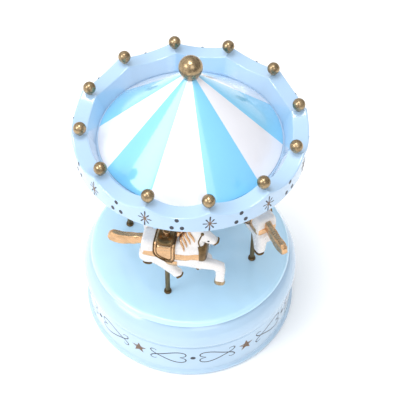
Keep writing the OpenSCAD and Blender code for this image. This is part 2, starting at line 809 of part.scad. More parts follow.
// Two blades that spin in the air and hold the speed down
module fan_vanes() {
    h = vane_z[1] - vane_z[0];
    color(black) translate([worm_x, worm_y, vane_z[0]]) difference() {
        union() {
            cylinder(r = vane_hub_r, h = h, $fn = small_fn);
            translate([-vane_r, -vane_t / 2, 0]) cube([2 * vane_r, vane_t, h]);
        }
        translate([0, 0, -1]) cylinder(r = fan_shaft_r, h = h + 2, $fn = small_fn);
    }
}

base_drum();
bottom_plate();
bottom_screws();
foot_pads();
glide_washer();
movement_bedplate();
bedplate_screws();
arbor_bush();
comb();
comb_screws();
bracket_inner();
bracket_outer();
bracket_screws();
spring_housing();
housing_screws();
mainspring();
governor_frame();
governor_screws();
fan_bracket();
fan_jewel();
turntable();
turntable_hub();
hub_screws();
winding_arbor();
crown_gear();
centre_rod();
centre_post();
pole_1();
pole_2();
pole_3();
pole_4();
pole_ferrules();
horse_1();
horse_2();
horse_3();
horse_4();
canopy_board();
canopy_screws();
canopy_crown();
crown_beads();
canopy_roof();
finial_collar();
finial_ball();
note_cylinder();
cylinder_pins();
cylinder_gear();
drive_wheel();
cylinder_arbor();
governor_pinion_1();
governor_wheel_1();
governor_shaft_1();
governor_pinion_2();
worm_wheel();
governor_shaft_2();
fan_worm();
fan_vanes();
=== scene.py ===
"""The visible pieces of a carousel music box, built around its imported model."""
import json
import math

import bmesh
import bpy
from mathutils import Matrix, Vector, noise
from mathutils.bvhtree import BVHTree


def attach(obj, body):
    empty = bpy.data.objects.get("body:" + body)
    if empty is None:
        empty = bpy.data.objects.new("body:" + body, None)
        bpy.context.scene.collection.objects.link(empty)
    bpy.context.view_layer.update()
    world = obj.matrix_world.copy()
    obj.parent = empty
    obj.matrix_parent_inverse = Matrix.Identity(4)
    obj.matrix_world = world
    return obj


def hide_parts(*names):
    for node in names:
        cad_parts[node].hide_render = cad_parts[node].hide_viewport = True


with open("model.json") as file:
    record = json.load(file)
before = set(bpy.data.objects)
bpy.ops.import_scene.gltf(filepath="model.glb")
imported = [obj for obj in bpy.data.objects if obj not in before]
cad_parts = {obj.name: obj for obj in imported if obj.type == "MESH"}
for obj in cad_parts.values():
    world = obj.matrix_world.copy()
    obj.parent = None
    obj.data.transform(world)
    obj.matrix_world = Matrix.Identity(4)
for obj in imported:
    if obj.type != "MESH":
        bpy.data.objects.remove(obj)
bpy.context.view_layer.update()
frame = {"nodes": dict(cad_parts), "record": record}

bl_info = {
    "name": "Carousel music box",
    "version": (1, 0, 0),
    "blender": (4, 5, 0),
    "location": "View3D > Sidebar > Carousel",
    "description": "Builds the lacquered shell, canopy, horses and fittings of a carousel music box",
    "category": "Object",
}

MM = 0.001

# Driving dimensions in mm and degrees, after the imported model. Angle 0 is the front, 90 the right.
# Base: foot bead, printed band, groove, moulding, web and the ledge that holds the bottom plate
BASE_R = 55
FOOT_BEAD_R = 1.75
BAND_R = 53.7
GROOVE_R = 51.9
GROOVE_Z = 24.35
MOULDING_LOW_R = 2.8
MOULDING_R = 11.6
BASE_TOP = 37.6
WEB_Z = 33
WEB_BORE_R = 10
BASE_INNER_R = 46
LEDGE_R = 49
LEDGE_Z = 3.5
BOSS_CIRCLE_R = 43.5
BOSS_R = 3.8
PAD_CIRCLE_R = 36
PAD_ANGLE = 45
PAD_R = 4.5
# Turntable and what stands on it
TURNTABLE_Z = 38.4
TURNTABLE_TOP = 40.8
TURNTABLE_R = 50.8
ROD_BORE_R = 1.6
POLE_R = 1.2
POLE_CIRCLE_R = 33
POLE_PLACES = [-19.3 + 90 * i for i in range(4)]
POLE_SOCKET = 1.6
FERRULE_R = 1.9
HORSE_YAWS = [8, 47, 5, 50]
# Canopy
CANOPY_Z = 116.5
BOARD_TOP = 119
CROWN_R = 53.5
CROWN_TOP = 129
CROWN_FOOT_R = 46.1
SCALLOP_R = 27
SCALLOP_DROP = 3.8
BEAD_COUNT = 12
BEAD_ANGLE = 8.9
BEAD_CIRCLE_R = 49.45
BEAD_Z = 132.05
BEAD_PIN_R = 0.6
ROOF_PANELS = 10
ROOF_SEAM_ANGLE = -25.3
ROOF_RIM_R = 42
ROOF_RIM_Z = 119.6
ROOF_TIP_R = 3.4
ROOF_SLOPE = 0.962
FINIAL_Z = 161.8
COLLAR_R = 2.2
# Prints: where they stand on their walls, and how deep the film is bedded in the lacquer
STAR_ANGLE = -28.3
BAND_REPEATS = 6
BAND_PRINT_Z = 14.8
ASTERISK_Z = 121.7
CROWN_DOTS_Z = 120.9
PRINT_SUNK = 0.02


def linear(hex_colour):
    """sRGB hex, such as "cfe8fb", to linear RGB."""
    parts = [int(hex_colour[i:i + 2], 16) / 255 for i in (0, 2, 4)]
    return tuple(c / 12.92 if c <= 0.04045 else ((c + 0.055) / 1.055) ** 2.4 for c in parts)


def colour(name, text, hex_colour):
    """A colour property with its default given as sRGB hex."""
    return bpy.props.FloatVectorProperty(
        name=name, description=text, subtype="COLOR", size=3, min=0, max=1, default=linear(hex_colour))


def length(name, text, mm, low, high):
    """A length property; its default and range are given in mm."""
    return bpy.props.FloatProperty(
        name=name, description=text, unit="LENGTH", subtype="DISTANCE", precision=5,
        default=mm * MM, min=low * MM, max=high * MM)


class CarouselColours(bpy.types.PropertyGroup):
    # Base, turntable and crown share one sky-blue lacquer: the turntable's colour is lightened as painted
    # light on its upward top, and the base's and crown's are darkened as painted shade on their side walls.
    base_blue: colour("Base", "Lacquer of the base", "b0cce4")
    disc_blue_painted_light: colour("Turntable", "Lacquer of the turntable", "bfe6fe")
    crown_blue: colour("Crown", "Lacquer of the scalloped crown", "aac8e4")
    roof_blue: colour("Roof blue", "Blue panels of the roof", "7fc9ee")
    roof_white: colour("Roof white", "White panels of the roof", "e9e8ee")
    resin_white: colour("Horse white", "Gloss paint of the horses", "e6e1de")
    harness_gold: colour("Harness gold", "Gold paint of tail, mane and harness", "dcb186")
    # On the saddle seat and breastplate this bronze is painted shade, for gold paint that looks dark where it
    # reflects the canopy's shaded underside.
    dark_bronze_and_painted_shade: colour("Saddle bronze and painted shade", "Bronze paint of trim, painted shade on the saddle", "7d6442")
    old_gold: colour("Old gold", "Balls, finial and ferrules", "b29a78")
    old_brass: colour("Old brass", "Poles", "8a7350")
    copper_ink: colour("Copper ink", "Warm print colour", "80654f")
    slate_ink: colour("Slate ink", "Dark print colour", "3d3f49")


class CarouselSizes(bpy.types.PropertyGroup):
    star_r: length("Star radius", "Outer radius of the band's stars", 4.2, 3, 5)
    stroke: length("Stroke", "Width of the hearts' line", 0.66, 0.3, 0.9)
    asterisk_w: length("Asterisk width", "Width of the crown's asterisks", 6.2, 4, 8)
    asterisk_h: length("Asterisk height", "Height of the crown's asterisks", 9.6, 6, 10)
    bead_r: length("Bead radius", "Radius of the balls on the crown", 2.95, 2.5, 2.95)
    finial_r: length("Finial radius", "Radius of the ball on the roof", 5.3, 4, 5.3)
    print_t: length("Print thickness", "How far the print stands off the lacquer", 0.05, 0.02, 0.1)
    strap_t: length("Strap thickness", "How far the harness stands off the horse", 0.4, 0.2, 0.6)


def chosen():
    """The colours and sizes that the user has set."""
    scene = bpy.context.scene
    return scene.carousel_colours, scene.carousel_sizes


# ---------------------------------------------------------------- shapes, all in mm until finish_piece

def around(radius, angle, z=0.0):
    """A point at that radius; angle 0 is the front, 90 degrees the right."""
    a = math.radians(angle)
    return Vector((radius * math.sin(a), -radius * math.cos(a), z))


def arc(centre_r, centre_z, radius, start, end, steps):
    """Points of an arc in the outline's plane, angles from the horizontal."""
    turn = [math.radians(start + (end - start) * k / steps) for k in range(steps + 1)]
    return [(centre_r + radius * math.cos(t), centre_z + radius * math.sin(t)) for t in turn]


def soften(corners, steps=5):
    """Round the (r, z, radius) corners of a closed outline."""
    outline = []
    for i, (r, z, radius) in enumerate(corners):
        here = Vector((r, z))
        if not radius:
            outline.append((r, z))
            continue
        back = Vector(corners[i - 1][:2]) - here
        ahead = Vector(corners[(i + 1) % len(corners)][:2]) - here
        run = min(radius / math.tan(back.angle(ahead) / 2), back.length * 0.48, ahead.length * 0.48)
        a, b = here + back.normalized() * run, here + ahead.normalized() * run
        for k in range(steps + 1):
            t = k / steps
            point = a.lerp(here, t).lerp(here.lerp(b, t), t)
            outline.append((point.x, point.y))
    return outline


def flow(points, steps=6):
    """A smooth line through the points."""
    dots = [Vector(p) for p in points]
    dots = dots[:1] + dots + dots[-1:]
    line = []
    for a, b, c, d in zip(dots, dots[1:], dots[2:], dots[3:]):
        for k in range(steps):
            t = k / steps
            line.append(0.5 * (2 * b + (c - a) * t + (2 * a - 5 * b + 4 * c - d) * t ** 2
                               + (3 * b - a - 3 * c + d) * t ** 3))
    return line + [dots[-1]]


def lathe(bm, outline, steps, turn=0.0):
    """Spin a closed outline of (r, z) points about the Z axis."""
    dots = [bm.verts.new((r, 0, z)) for r, z in outline]
    edges = [bm.edges.new(pair) for pair in zip(dots, dots[1:] + dots[:1])]
    bmesh.ops.spin(bm, geom=dots + edges, cent=(0, 0, 0), axis=(0, 0, 1), angle=math.tau, steps=steps,
                   use_merge=True)
    bmesh.ops.remove_doubles(bm, verts=bm.verts, dist=0.0005)
    bmesh.ops.rotate(bm, verts=bm.verts, cent=(0, 0, 0), matrix=Matrix.Rotation(math.radians(turn), 3, "Z"))
    bmesh.ops.recalc_face_normals(bm, faces=bm.faces)


def loft(bm, sections, sides=20, power=2.0, closed=False):
    """Skin a row of (centre, side, up, half side, half up) sections; a power over 2 squares them."""
    rings = []
    for centre, side, up, half_side, half_up in sections:
        made = bmesh.ops.create_circle(bm, segments=sides, radius=1)["verts"]
        rings.append(list({edge for vert in made for edge in vert.link_edges}))
        for vert in made:
            c, s = (math.copysign(abs(v) ** (2 / power), v) for v in vert.co.xy)
            vert.co = centre + side * (half_side * c) + up * (half_up * s)
    faces = []
    for ring, following in list(zip(rings, rings[1:])) + ([(rings[-1], rings[0])] if closed else []):
        faces += bmesh.ops.bridge_loops(bm, edges=ring + following)["faces"]
    if not closed:
        faces += bmesh.ops.holes_fill(bm, edges=rings[0] + rings[-1], sides=0)["faces"]
    bmesh.ops.recalc_face_normals(bm, faces=faces)


def sweep(bm, path, half_wide, half_thick, sides=8, closed=False):
    """A bar along (point, normal) pairs; half_wide is a number or one for each point."""
    count = len(path)
    widths = half_wide if isinstance(half_wide, list) else [half_wide] * count
    sections = []
    for i, (point, normal) in enumerate(path):
        back = path[i - 1][0] if i or closed else point
        ahead = path[(i + 1) % count][0] if i < count - 1 or closed else point
        along = (ahead - back).normalized()
        side = along.cross(normal).normalized()
        sections.append((point, side, side.cross(along), widths[i], half_thick))
    loft(bm, sections, sides, closed=closed)


def join(bm, other):
    """Add another bmesh to bm and free it."""
    mesh = bpy.data.meshes.new("joining")
    other.to_mesh(mesh)
    other.free()
    bm.from_mesh(mesh)
    bpy.data.meshes.remove(mesh)


def relax(bm, verts, times):
    """Even out a surface."""
    for _ in range(times):
        bmesh.ops.smooth_vert(bm, verts=verts, factor=0.5, use_axis_x=True, use_axis_y=True, use_axis_z=True)


def finish_piece(name, bm, body, materials, replaced=(), sharp=40):
    """Turn a bmesh in mm into a piece that rides on a body."""
    bmesh.ops.scale(bm, vec=(MM, MM, MM), verts=bm.verts)
    mesh = bpy.data.meshes.new(name)
    bm.to_mesh(mesh)
    bm.free()
    return finish_mesh(name, mesh, body, materials, replaced, sharp)


def finish_mesh(name, mesh, body, materials, replaced=(), sharp=40):
    """Make a piece of a finished mesh in metres."""
    mesh.polygons.foreach_set("use_smooth", [True] * len(mesh.polygons))
    mesh.set_sharp_from_angle(angle=math.radians(sharp))
    for material in materials:
        mesh.materials.append(material)
    piece = bpy.data.objects.new(name, mesh)
    bpy.context.collection.objects.link(piece)
    weighted = piece.modifiers.new("Even shading", "WEIGHTED_NORMAL")
    weighted.keep_sharp = True
    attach(piece, body)
    if replaced:
        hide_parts(*replaced)
    return piece


# ---------------------------------------------------------------- materials

def add(tree, kind, inputs=None, **settings):
    """Add a node; inputs gives a value or another node's socket for each named or numbered socket."""
    made = tree.nodes.new(kind)
    for key, value in settings.items():
        setattr(made, key, value)
    for key, value in (inputs or {}).items():
        if isinstance(value, bpy.types.NodeSocket):
            tree.links.new(value, made.inputs[key])
        else:
            made.inputs[key].default_value = value
    return made


def surface(name, base, tint, share=0.3, patch=12.0, grain=1.5, relief=0.004, stretch=(1, 1, 1),
            rough=0.35, spread=0.05, metal=0.0, coat=0.0, coat_rough=0.05, ior=1.5, specular=0.5):
    """A finish with patches of a second colour and a fine grain; patch, grain and relief are in mm."""
    if name in bpy.data.materials:
        return bpy.data.materials[name]
    material = bpy.data.materials.new(name)
    material.use_nodes = True
    tree = material.node_tree
    tree.nodes.clear()
    place = add(tree, "ShaderNodeTexCoord")
    laid = add(tree, "ShaderNodeMapping", {"Vector": place.outputs["Object"], "Scale": stretch})
    broad = add(tree, "ShaderNodeTexNoise", {
        "Vector": laid.outputs[0], "Scale": 1 / (patch * MM), "Detail": 4.0, "Roughness": 0.6})
    fine = add(tree, "ShaderNodeTexNoise", {
        "Vector": laid.outputs[0], "Scale": 1 / (grain * MM), "Detail": 3.0, "Roughness": 0.55})
    blend = add(tree, "ShaderNodeMapRange", {
        "Value": broad.outputs[0], "From Min": 0.35, "From Max": 0.65, "To Max": share})
    mixed = add(tree, "ShaderNodeMix", {
        "Factor": blend.outputs[0], 6: (*base, 1), 7: (*tint, 1)}, data_type="RGBA")
    gloss = add(tree, "ShaderNodeMapRange", {
        "Value": fine.outputs[0], "From Min": 0.3, "From Max": 0.7,
        "To Min": rough - spread, "To Max": rough + spread})
    bump = add(tree, "ShaderNodeBump", {"Height": fine.outputs[0], "Distance": relief * MM, "Strength": 1.0})
    shader = add(tree, "ShaderNodeBsdfPrincipled", {
        "Base Color": mixed.outputs[2], "Roughness": gloss.outputs[0], "Normal": bump.outputs[0],
        "Metallic": metal, "Coat Weight": coat, "Coat Roughness": coat_rough})
    if not metal:
        shader.inputs["IOR"].default_value = ior
        shader.inputs["Specular IOR Level"].default_value = specular
    add(tree, "ShaderNodeOutputMaterial", {"Surface": shader.outputs[0]})
    return material


def shade(rgb, factor):
    """The same colour, lighter or darker."""
    return tuple(min(1.0, c * factor) for c in rgb)


def lacquer(name, rgb):
    """Sprayed lacquer on moulded ABS: a wet gloss with a faint orange peel and hardly any colour change."""
    return surface(name, rgb, shade(rgb, 0.93), share=0.5, patch=22, grain=1.5, relief=0.006,
                   rough=0.22, spread=0.03, coat=1.0, coat_rough=0.05)


def resin():
    """Gloss enamel on cast resin: clean white with softened carving and a slight brush unevenness."""
    rgb = chosen()[0].resin_white
    return surface("Gloss enamel on cast resin", rgb, shade(rgb, 0.9), share=0.5, patch=6, grain=0.9,
                   relief=0.012, rough=0.26, spread=0.05, coat=0.4, coat_rough=0.1)


def harness_paint():
    """Brushed gold paint: metallic flake, so it is bright toward the light and olive in the shade."""
    rgb = chosen()[0].harness_gold
    return surface("Brushed gold paint", rgb, shade(rgb, 0.7), share=0.7, patch=2.4, grain=0.5,
                   relief=0.02, rough=0.27, spread=0.07, metal=1.0, stretch=(0.6, 1, 1))


def bronze_and_painted_shade():
    """Bronze paint, dark: brown metallic flake in darker random patches. On the saddle seat and breastplate
    it is painted shade, standing in for gold paint that looks dark where it reflects the canopy's shaded
    underside.
    """
    rgb = chosen()[0].dark_bronze_and_painted_shade
    return surface("Dark bronze paint with painted shade", rgb, shade(rgb, 0.45), share=0.8, patch=2.0, grain=0.5,
                   relief=0.02, rough=0.34, spread=0.08, metal=0.85)


def antique_gold():
    """Antique gold plate on a cast ball: brown wash and satin gold mottled in random patches."""
    rgb = chosen()[0].old_gold
    return surface("Antique gold plate", rgb, shade(rgb, 0.45), share=0.85, patch=1.8, grain=0.6,
                   relief=0.04, rough=0.27, spread=0.1, metal=1.0)


def aged_brass():
    """Aged brass rod: drawn along its length, brown with handling."""
    rgb = chosen()[0].old_brass
    return surface("Aged drawn brass", rgb, shade(rgb, 0.5), share=0.8, patch=3, grain=0.6,
                   relief=0.012, rough=0.36, spread=0.08, metal=0.9, stretch=(3, 3, 0.3))


def ink(name, rgb):
    """Pad-printed metallic ink: a thin, slightly uneven film with a soft sheen."""
    return surface(name, rgb, shade(rgb, 0.6), share=0.8, patch=1.1, grain=0.3, relief=0.006,
                   rough=0.45, spread=0.08, metal=0.35)


# ---------------------------------------------------------------- base

class CAROUSEL_OT_base(bpy.types.Operator):
    """Build the base shell with its foot bead, band, groove, moulding and screw bosses"""
    bl_idname = "carousel.base"
    bl_label = "Base shell"

    def execute(self, context):
        colours, _ = chosen()
        bm = bmesh.new()
        outline = [(LEDGE_R, 0), (BASE_R - 2.4, 0)]
        outline += arc(BASE_R - FOOT_BEAD_R, FOOT_BEAD_R, FOOT_BEAD_R, -80, 62, 14)
        outline += [(BAND_R, 4.0), (BAND_R, 22.3)]
        outline += arc(GROOVE_R, 22.5, BAND_R - GROOVE_R, 8, 68, 7)
        outline += [(GROOVE_R, GROOVE_Z), (GROOVE_R, GROOVE_Z + 0.25)]
        outline += arc(BASE_R - MOULDING_LOW_R, 27.3, MOULDING_LOW_R, -84, 0, 12)
        outline += arc(BASE_R - MOULDING_R, 27.6, MOULDING_R, 2, 59.5, 16)
        outline += [(r, BASE_TOP) for r in (48.9, 40, 25, WEB_BORE_R)]
        outline += [(WEB_BORE_R, WEB_Z), (BASE_INNER_R - 0.5, WEB_Z), (BASE_INNER_R, WEB_Z - 0.5),
                    (BASE_INNER_R, 18), (BASE_INNER_R, LEDGE_Z), (LEDGE_R, LEDGE_Z)]
        lathe(bm, outline, 240)
        rises = [(LEDGE_Z, BOSS_R - 0.2), (LEDGE_Z + 0.2, BOSS_R), (18, BOSS_R), (WEB_Z + 0.2, BOSS_R)]
        for i in range(4):
            loft(bm, [(around(BOSS_CIRCLE_R, 90 * i, z), Vector((1, 0, 0)), Vector((0, 1, 0)), r, r)
                      for z, r in rises], 32)
        # The base's blue is the shared lacquer darkened as painted shade on the side wall.
        finish_piece("base_shell", bm, "base",
                     [lacquer("Sky blue lacquer on the base", colours.base_blue)], ["base_drum"])
        return {"FINISHED"}


def on_wall(radius, angle, z0):
    """A function that wraps (u, v) in mm, seen flat, onto a round wall at that angle and height."""
    def place(u, v):
        point = around(radius - PRINT_SUNK, angle + math.degrees(u / radius), z0 + v)
        return point, Vector((point.x, point.y, 0)).normalized()
    return place


def printed_spot(bm, place, outline, thick):
    """A closed flat (u, v) shape laid on a wall as a thin film; the outline runs round its middle."""
    centre = sum((Vector(p) for p in outline), Vector((0, 0))) / len(outline)
    made = bmesh.ops.create_circle(bm, segments=len(outline), radius=1, cap_ends=True, cap_tris=True)["verts"]
    rim = [v for v in made if v.co.length > 0.5]
    faces = list({f for v in made for f in v.link_faces})
    for vert in made:
        if vert not in rim:
            vert.co = place(*centre)[0]
    for vert, (u, v) in zip(rim, outline):
        vert.co = place(u, v)[0]
    extruded = bmesh.ops.extrude_face_region(bm, geom=faces)["geom"]
    top = [v for v in extruded if isinstance(v, bmesh.types.BMVert)]
    outward = place(*centre)[1]
    bmesh.ops.translate(bm, verts=top, vec=outward * thick)
    whole = list({f for v in top + made for f in v.link_faces})
    bmesh.ops.recalc_face_normals(bm, faces=whole)


def star(radius, inner, points=5):
    """A star with one point up."""
    return [(r * math.sin(a), r * math.cos(a)) for k in range(2 * points)
            for r, a in [((radius, inner)[k % 2], math.pi * k / points)]]


def dot(half_u, half_v, u=0.0, v=0.0, sides=20):
    """An oval round (u, v)."""
    return [(u + half_u * math.sin(math.tau * k / sides), v + half_v * math.cos(math.tau * k / sides))
            for k in range(sides)]


def stroke(bm, place, line, half_wide, thick):
    """A thin printed line along (u, v) points; half_wide may change along it."""
    path = [place(u, v) for u, v in line]
    sweep(bm, path, half_wide, thick, 8)


def heart_line():
    """The upper half of the sideways heart beside each dot: lobe, long side and curled tail."""
    half = [(6.6, 0.1), (5.2, 0.5), (3.9, 1.3), (3.5, 2.5), (4.1, 3.6), (5.6, 4.3), (7.6, 4.4),
            (10.4, 3.7), (13.2, 2.5), (16.0, 1.1), (18.6, -0.1), (20.6, -1.3), (21.6, -2.7),
            (21.2, -3.8), (20.1, -4.1), (18.9, -3.7), (18.7, -3.1)]
    return flow(half, 5)


class CAROUSEL_OT_band_print(bpy.types.Operator):
    """Print the stars, dots and sideways hearts round the base"""
    bl_idname = "carousel.band_print"
    bl_label = "Band print"

    def execute(self, context):
        colours, sizes = chosen()
        film = sizes.print_t / MM
        warm, dark = bmesh.new(), bmesh.new()
        step = 360 / BAND_REPEATS
        star_r, half = sizes.star_r / MM, sizes.stroke / MM / 2
        line = heart_line()
        widths = [half * (0.55 + 0.75 * math.sin(math.pi * min(1, k / (len(line) - 1) * 1.05)) ** 0.6)
                  for k in range(len(line))]
        for i in range(BAND_REPEATS):
            place = on_wall(BAND_R, STAR_ANGLE + step * i, BAND_PRINT_Z)
            printed_spot(warm, place, star(star_r, star_r * 0.42), film)
            place = on_wall(BAND_R, STAR_ANGLE + step * (i + 0.5), BAND_PRINT_Z)
            printed_spot(dark, place, dot(1.35, 1.2), film)
            for mirror_u in (1, -1):
                for mirror_v in (1, -1):
                    stroke(dark, place, [(mirror_u * p.x, mirror_v * p.y) for p in line], widths, film)
        finish_piece("band_stars", warm, "base", [ink("Copper print ink", colours.copper_ink)])
        finish_piece("band_hearts", dark, "base", [ink("Slate print ink", colours.slate_ink)])
        return {"FINISHED"}


# ---------------------------------------------------------------- turntable, poles, column

class CAROUSEL_OT_turntable(bpy.types.Operator):
    """Build the turntable disc, the four poles with their ferrules, and the column"""
    bl_idname = "carousel.turntable"
    bl_label = "Turntable and poles"

    def execute(self, context):
        colours, _ = chosen()
        bm = bmesh.new()
        low, top = TURNTABLE_Z, TURNTABLE_TOP
        outline = [(ROD_BORE_R, low), (TURNTABLE_R - 0.3, low), (TURNTABLE_R, low + 0.22)]
        outline += arc(TURNTABLE_R - (top - low), low, top - low, 8, 90, 14)
        outline += [(r, top) for r in (47.6, 38, 20, ROD_BORE_R)]
        lathe(bm, outline, 240)
        # The turntable's blue is the shared lacquer lightened as painted light on its upward top.
        finish_piece("turntable_disc", bm, "carousel",
                     [lacquer("Sky blue lacquer on the turntable", colours.disc_blue_painted_light)], ["turntable"])
        for i, place in enumerate(POLE_PLACES):
            bm = bmesh.new()
            foot, head = top - POLE_SOCKET, CANOPY_Z + 1.5
            lathe(bm, soften([(0, foot, 0), (POLE_R, foot, 0.2), (POLE_R, head, 0.2), (0, head, 0)]), 32)
            bmesh.ops.translate(bm, verts=bm.verts, vec=around(POLE_CIRCLE_R, place))
            finish_piece(f"pole_rod_{i + 1}", bm, "carousel", [aged_brass()], [f"pole_{i + 1}"])
        bm = bmesh.new()
        for place in POLE_PLACES:
            one = bmesh.new()
            lathe(one, soften([(POLE_R + 0.05, top, 0), (FERRULE_R, top, 0.1), (FERRULE_R, top + 0.5, 0.25),
                               (FERRULE_R - 0.18, top + 0.8, 0.1), (FERRULE_R - 0.18, top + 1.4, 0.3),
                               (POLE_R + 0.05, top + 1.4, 0.1)]), 32)
            bmesh.ops.translate(one, verts=one.verts, vec=around(POLE_CIRCLE_R, place))
            join(bm, one)
        finish_piece("pole_feet", bm, "carousel", [bronze_and_painted_shade()], ["pole_ferrules"])
        bm = bmesh.new()
        lathe(bm, soften([
            (ROD_BORE_R, top, 0), (11, top, 0.3), (11, 43, 0.9), (9.3, 44.2, 0.5), (9.3, 46, 0.6),
            (7.9, 47.4, 0.4), (7.5, 50, 0), (7.3, 80, 0), (7.5, 108, 0), (7.9, 110, 0.4), (9.3, 111.4, 0.6),
            (9.3, 113.2, 0.5), (11, 114.4, 0.9), (11, CANOPY_Z, 0.3), (ROD_BORE_R, CANOPY_Z, 0)]), 96)
        finish_piece("centre_column", bm, "carousel",
                     [lacquer("White lacquer", colours.roof_white)], ["centre_post"])
        return {"FINISHED"}


# ---------------------------------------------------------------- canopy

def scallop_drop(radius, angle):
    """How far the crown's top dips at that angle, measured from the balls."""
    step = 360 / BEAD_COUNT
    off = (angle - BEAD_ANGLE) % step - step / 2
    x = radius * math.sin(math.radians(off))
    return max(0.0, SCALLOP_DROP - SCALLOP_R + math.sqrt(SCALLOP_R ** 2 - x ** 2))


class CAROUSEL_OT_crown(bpy.types.Operator):
    """Build the scalloped crown ring"""
    bl_idname = "carousel.crown"
    bl_label = "Crown ring"

    def execute(self, context):
        colours, _ = chosen()
        bm = bmesh.new()
        outline = soften([(CROWN_FOOT_R, CANOPY_Z, 0), (CROWN_R, CANOPY_Z, 0.7), (CROWN_R, CROWN_TOP, 0.9),
                          (46.3, CROWN_TOP, 0.8), (42.6, BOARD_TOP, 0.2), (CROWN_FOOT_R, BOARD_TOP, 0)], 6)
        lathe(bm, outline, 360, BEAD_ANGLE)
        still = BOARD_TOP + 0.5
        for vert in bm.verts:
            if vert.co.z > still:
                angle = math.degrees(math.atan2(vert.co.x, -vert.co.y))
                rise = (vert.co.z - still) / (CROWN_TOP - still)
                vert.co.z -= scallop_drop(vert.co.xy.length, angle) * rise
        # The crown's blue is the shared lacquer darkened as painted shade on the side wall.
        finish_piece("crown_ring", bm, "carousel",
                     [lacquer("Sky blue lacquer on the crown", colours.crown_blue)], ["canopy_crown"])
        return {"FINISHED"}


class CAROUSEL_OT_crown_print(bpy.types.Operator):
    """Print the asterisks and dots round the crown"""
    bl_idname = "carousel.crown_print"
    bl_label = "Crown print"

    def execute(self, context):
        colours, sizes = chosen()
        film = sizes.print_t / MM
        warm, dark = bmesh.new(), bmesh.new()
        wide, tall = sizes.asterisk_w / MM / 2, sizes.asterisk_h / MM / 2
        step = 360 / BEAD_COUNT
        for i in range(BEAD_COUNT):
            place = on_wall(CROWN_R, BEAD_ANGLE + step * i, ASTERISK_Z)
            for k in range(8):
                a = math.pi * k / 4 + 0.06
                reach = 1.0 if k % 2 == 0 else 0.84
                end = Vector((wide * math.sin(a), tall * math.cos(a))) * reach
                start = end * 0.2
                stroke(dark, place, [start.lerp(end, t) for t in (0, 0.35, 0.7, 0.92, 1)],
                       [0.24, 0.34, 0.42, 0.38, 0.18], film)
                stroke(warm, place, [end * t for t in (0, 0.2, 0.45, 0.62)], [0.36, 0.3, 0.24, 0.12],
                       film * 1.4)
            printed_spot(warm, place, dot(0.6, 0.8), film * 1.5)
            place = on_wall(CROWN_R, BEAD_ANGLE + step * (i + 0.5), CROWN_DOTS_Z)
            for u, v in ((0, 3.2), (-2.2, -1.9), (2.2, -1.7)):
                printed_spot(dark, place, dot(0.95, 1.2, u, v, 16), film)
        finish_piece("crown_print_warm", warm, "carousel",
                     [ink("Copper print ink", colours.copper_ink)])
        finish_piece("crown_print_dark", dark, "carousel",
                     [ink("Slate print ink", colours.slate_ink)])
        return {"FINISHED"}


def cast_ball(bm, centre, radius, seed):
    """A cast ball with a slightly lumpy skin."""
    made = bmesh.ops.create_icosphere(bm, subdivisions=4, radius=radius)["verts"]
    for vert in made:
        lump = noise.noise(vert.co * 0.9 + Vector((seed * 7.3, 0, 0)))
        vert.co *= 1 - 0.012 * (1 + lump) / 2
        vert.co += centre


class CAROUSEL_OT_balls(bpy.types.Operator):
    """Cast the crown's balls and the finial"""
    bl_idname = "carousel.balls"
    bl_label = "Balls and finial"

    def execute(self, context):
        _, sizes = chosen()
        bm = bmesh.new()
        for i in range(BEAD_COUNT):
            at = around(BEAD_CIRCLE_R, BEAD_ANGLE + 360 / BEAD_COUNT * i, BEAD_Z)
            cast_ball(bm, at, sizes.bead_r / MM, i)
            neck = bmesh.new()
            lathe(neck, soften([(0, CROWN_TOP - 3, 0), (BEAD_PIN_R, CROWN_TOP - 3, 0),
                                (BEAD_PIN_R, CROWN_TOP - 0.4, 0), (1.5, CROWN_TOP - 0.1, 0.2),
                                (1.3, CROWN_TOP + 0.9, 0.2), (0, CROWN_TOP + 0.9, 0)]), 24)
            bmesh.ops.translate(neck, verts=neck.verts, vec=(at.x, at.y, 0))
            join(bm, neck)
        finish_piece("crown_balls", bm, "carousel", [antique_gold()], ["crown_beads"])
        bm = bmesh.new()
        cast_ball(bm, Vector((0, 0, FINIAL_Z)), sizes.finial_r / MM, 31)
        finish_piece("finial", bm, "carousel", [antique_gold()], ["finial_ball"])
        bm = bmesh.new()
        lathe(bm, soften([(ROD_BORE_R, 154.6, 0), (COLLAR_R, 154.6, 0), (COLLAR_R, 156.6, 0.1),
                          (2.9, 156.9, 0.1), (2.7, 157.4, 0.2), (COLLAR_R, 157.9, 0.2),
                          (COLLAR_R, 158.4, 0), (ROD_BORE_R, 158.4, 0)]), 48)
        finish_piece("finial_neck", bm, "carousel", [antique_gold()], ["finial_collar"])
        return {"FINISHED"}


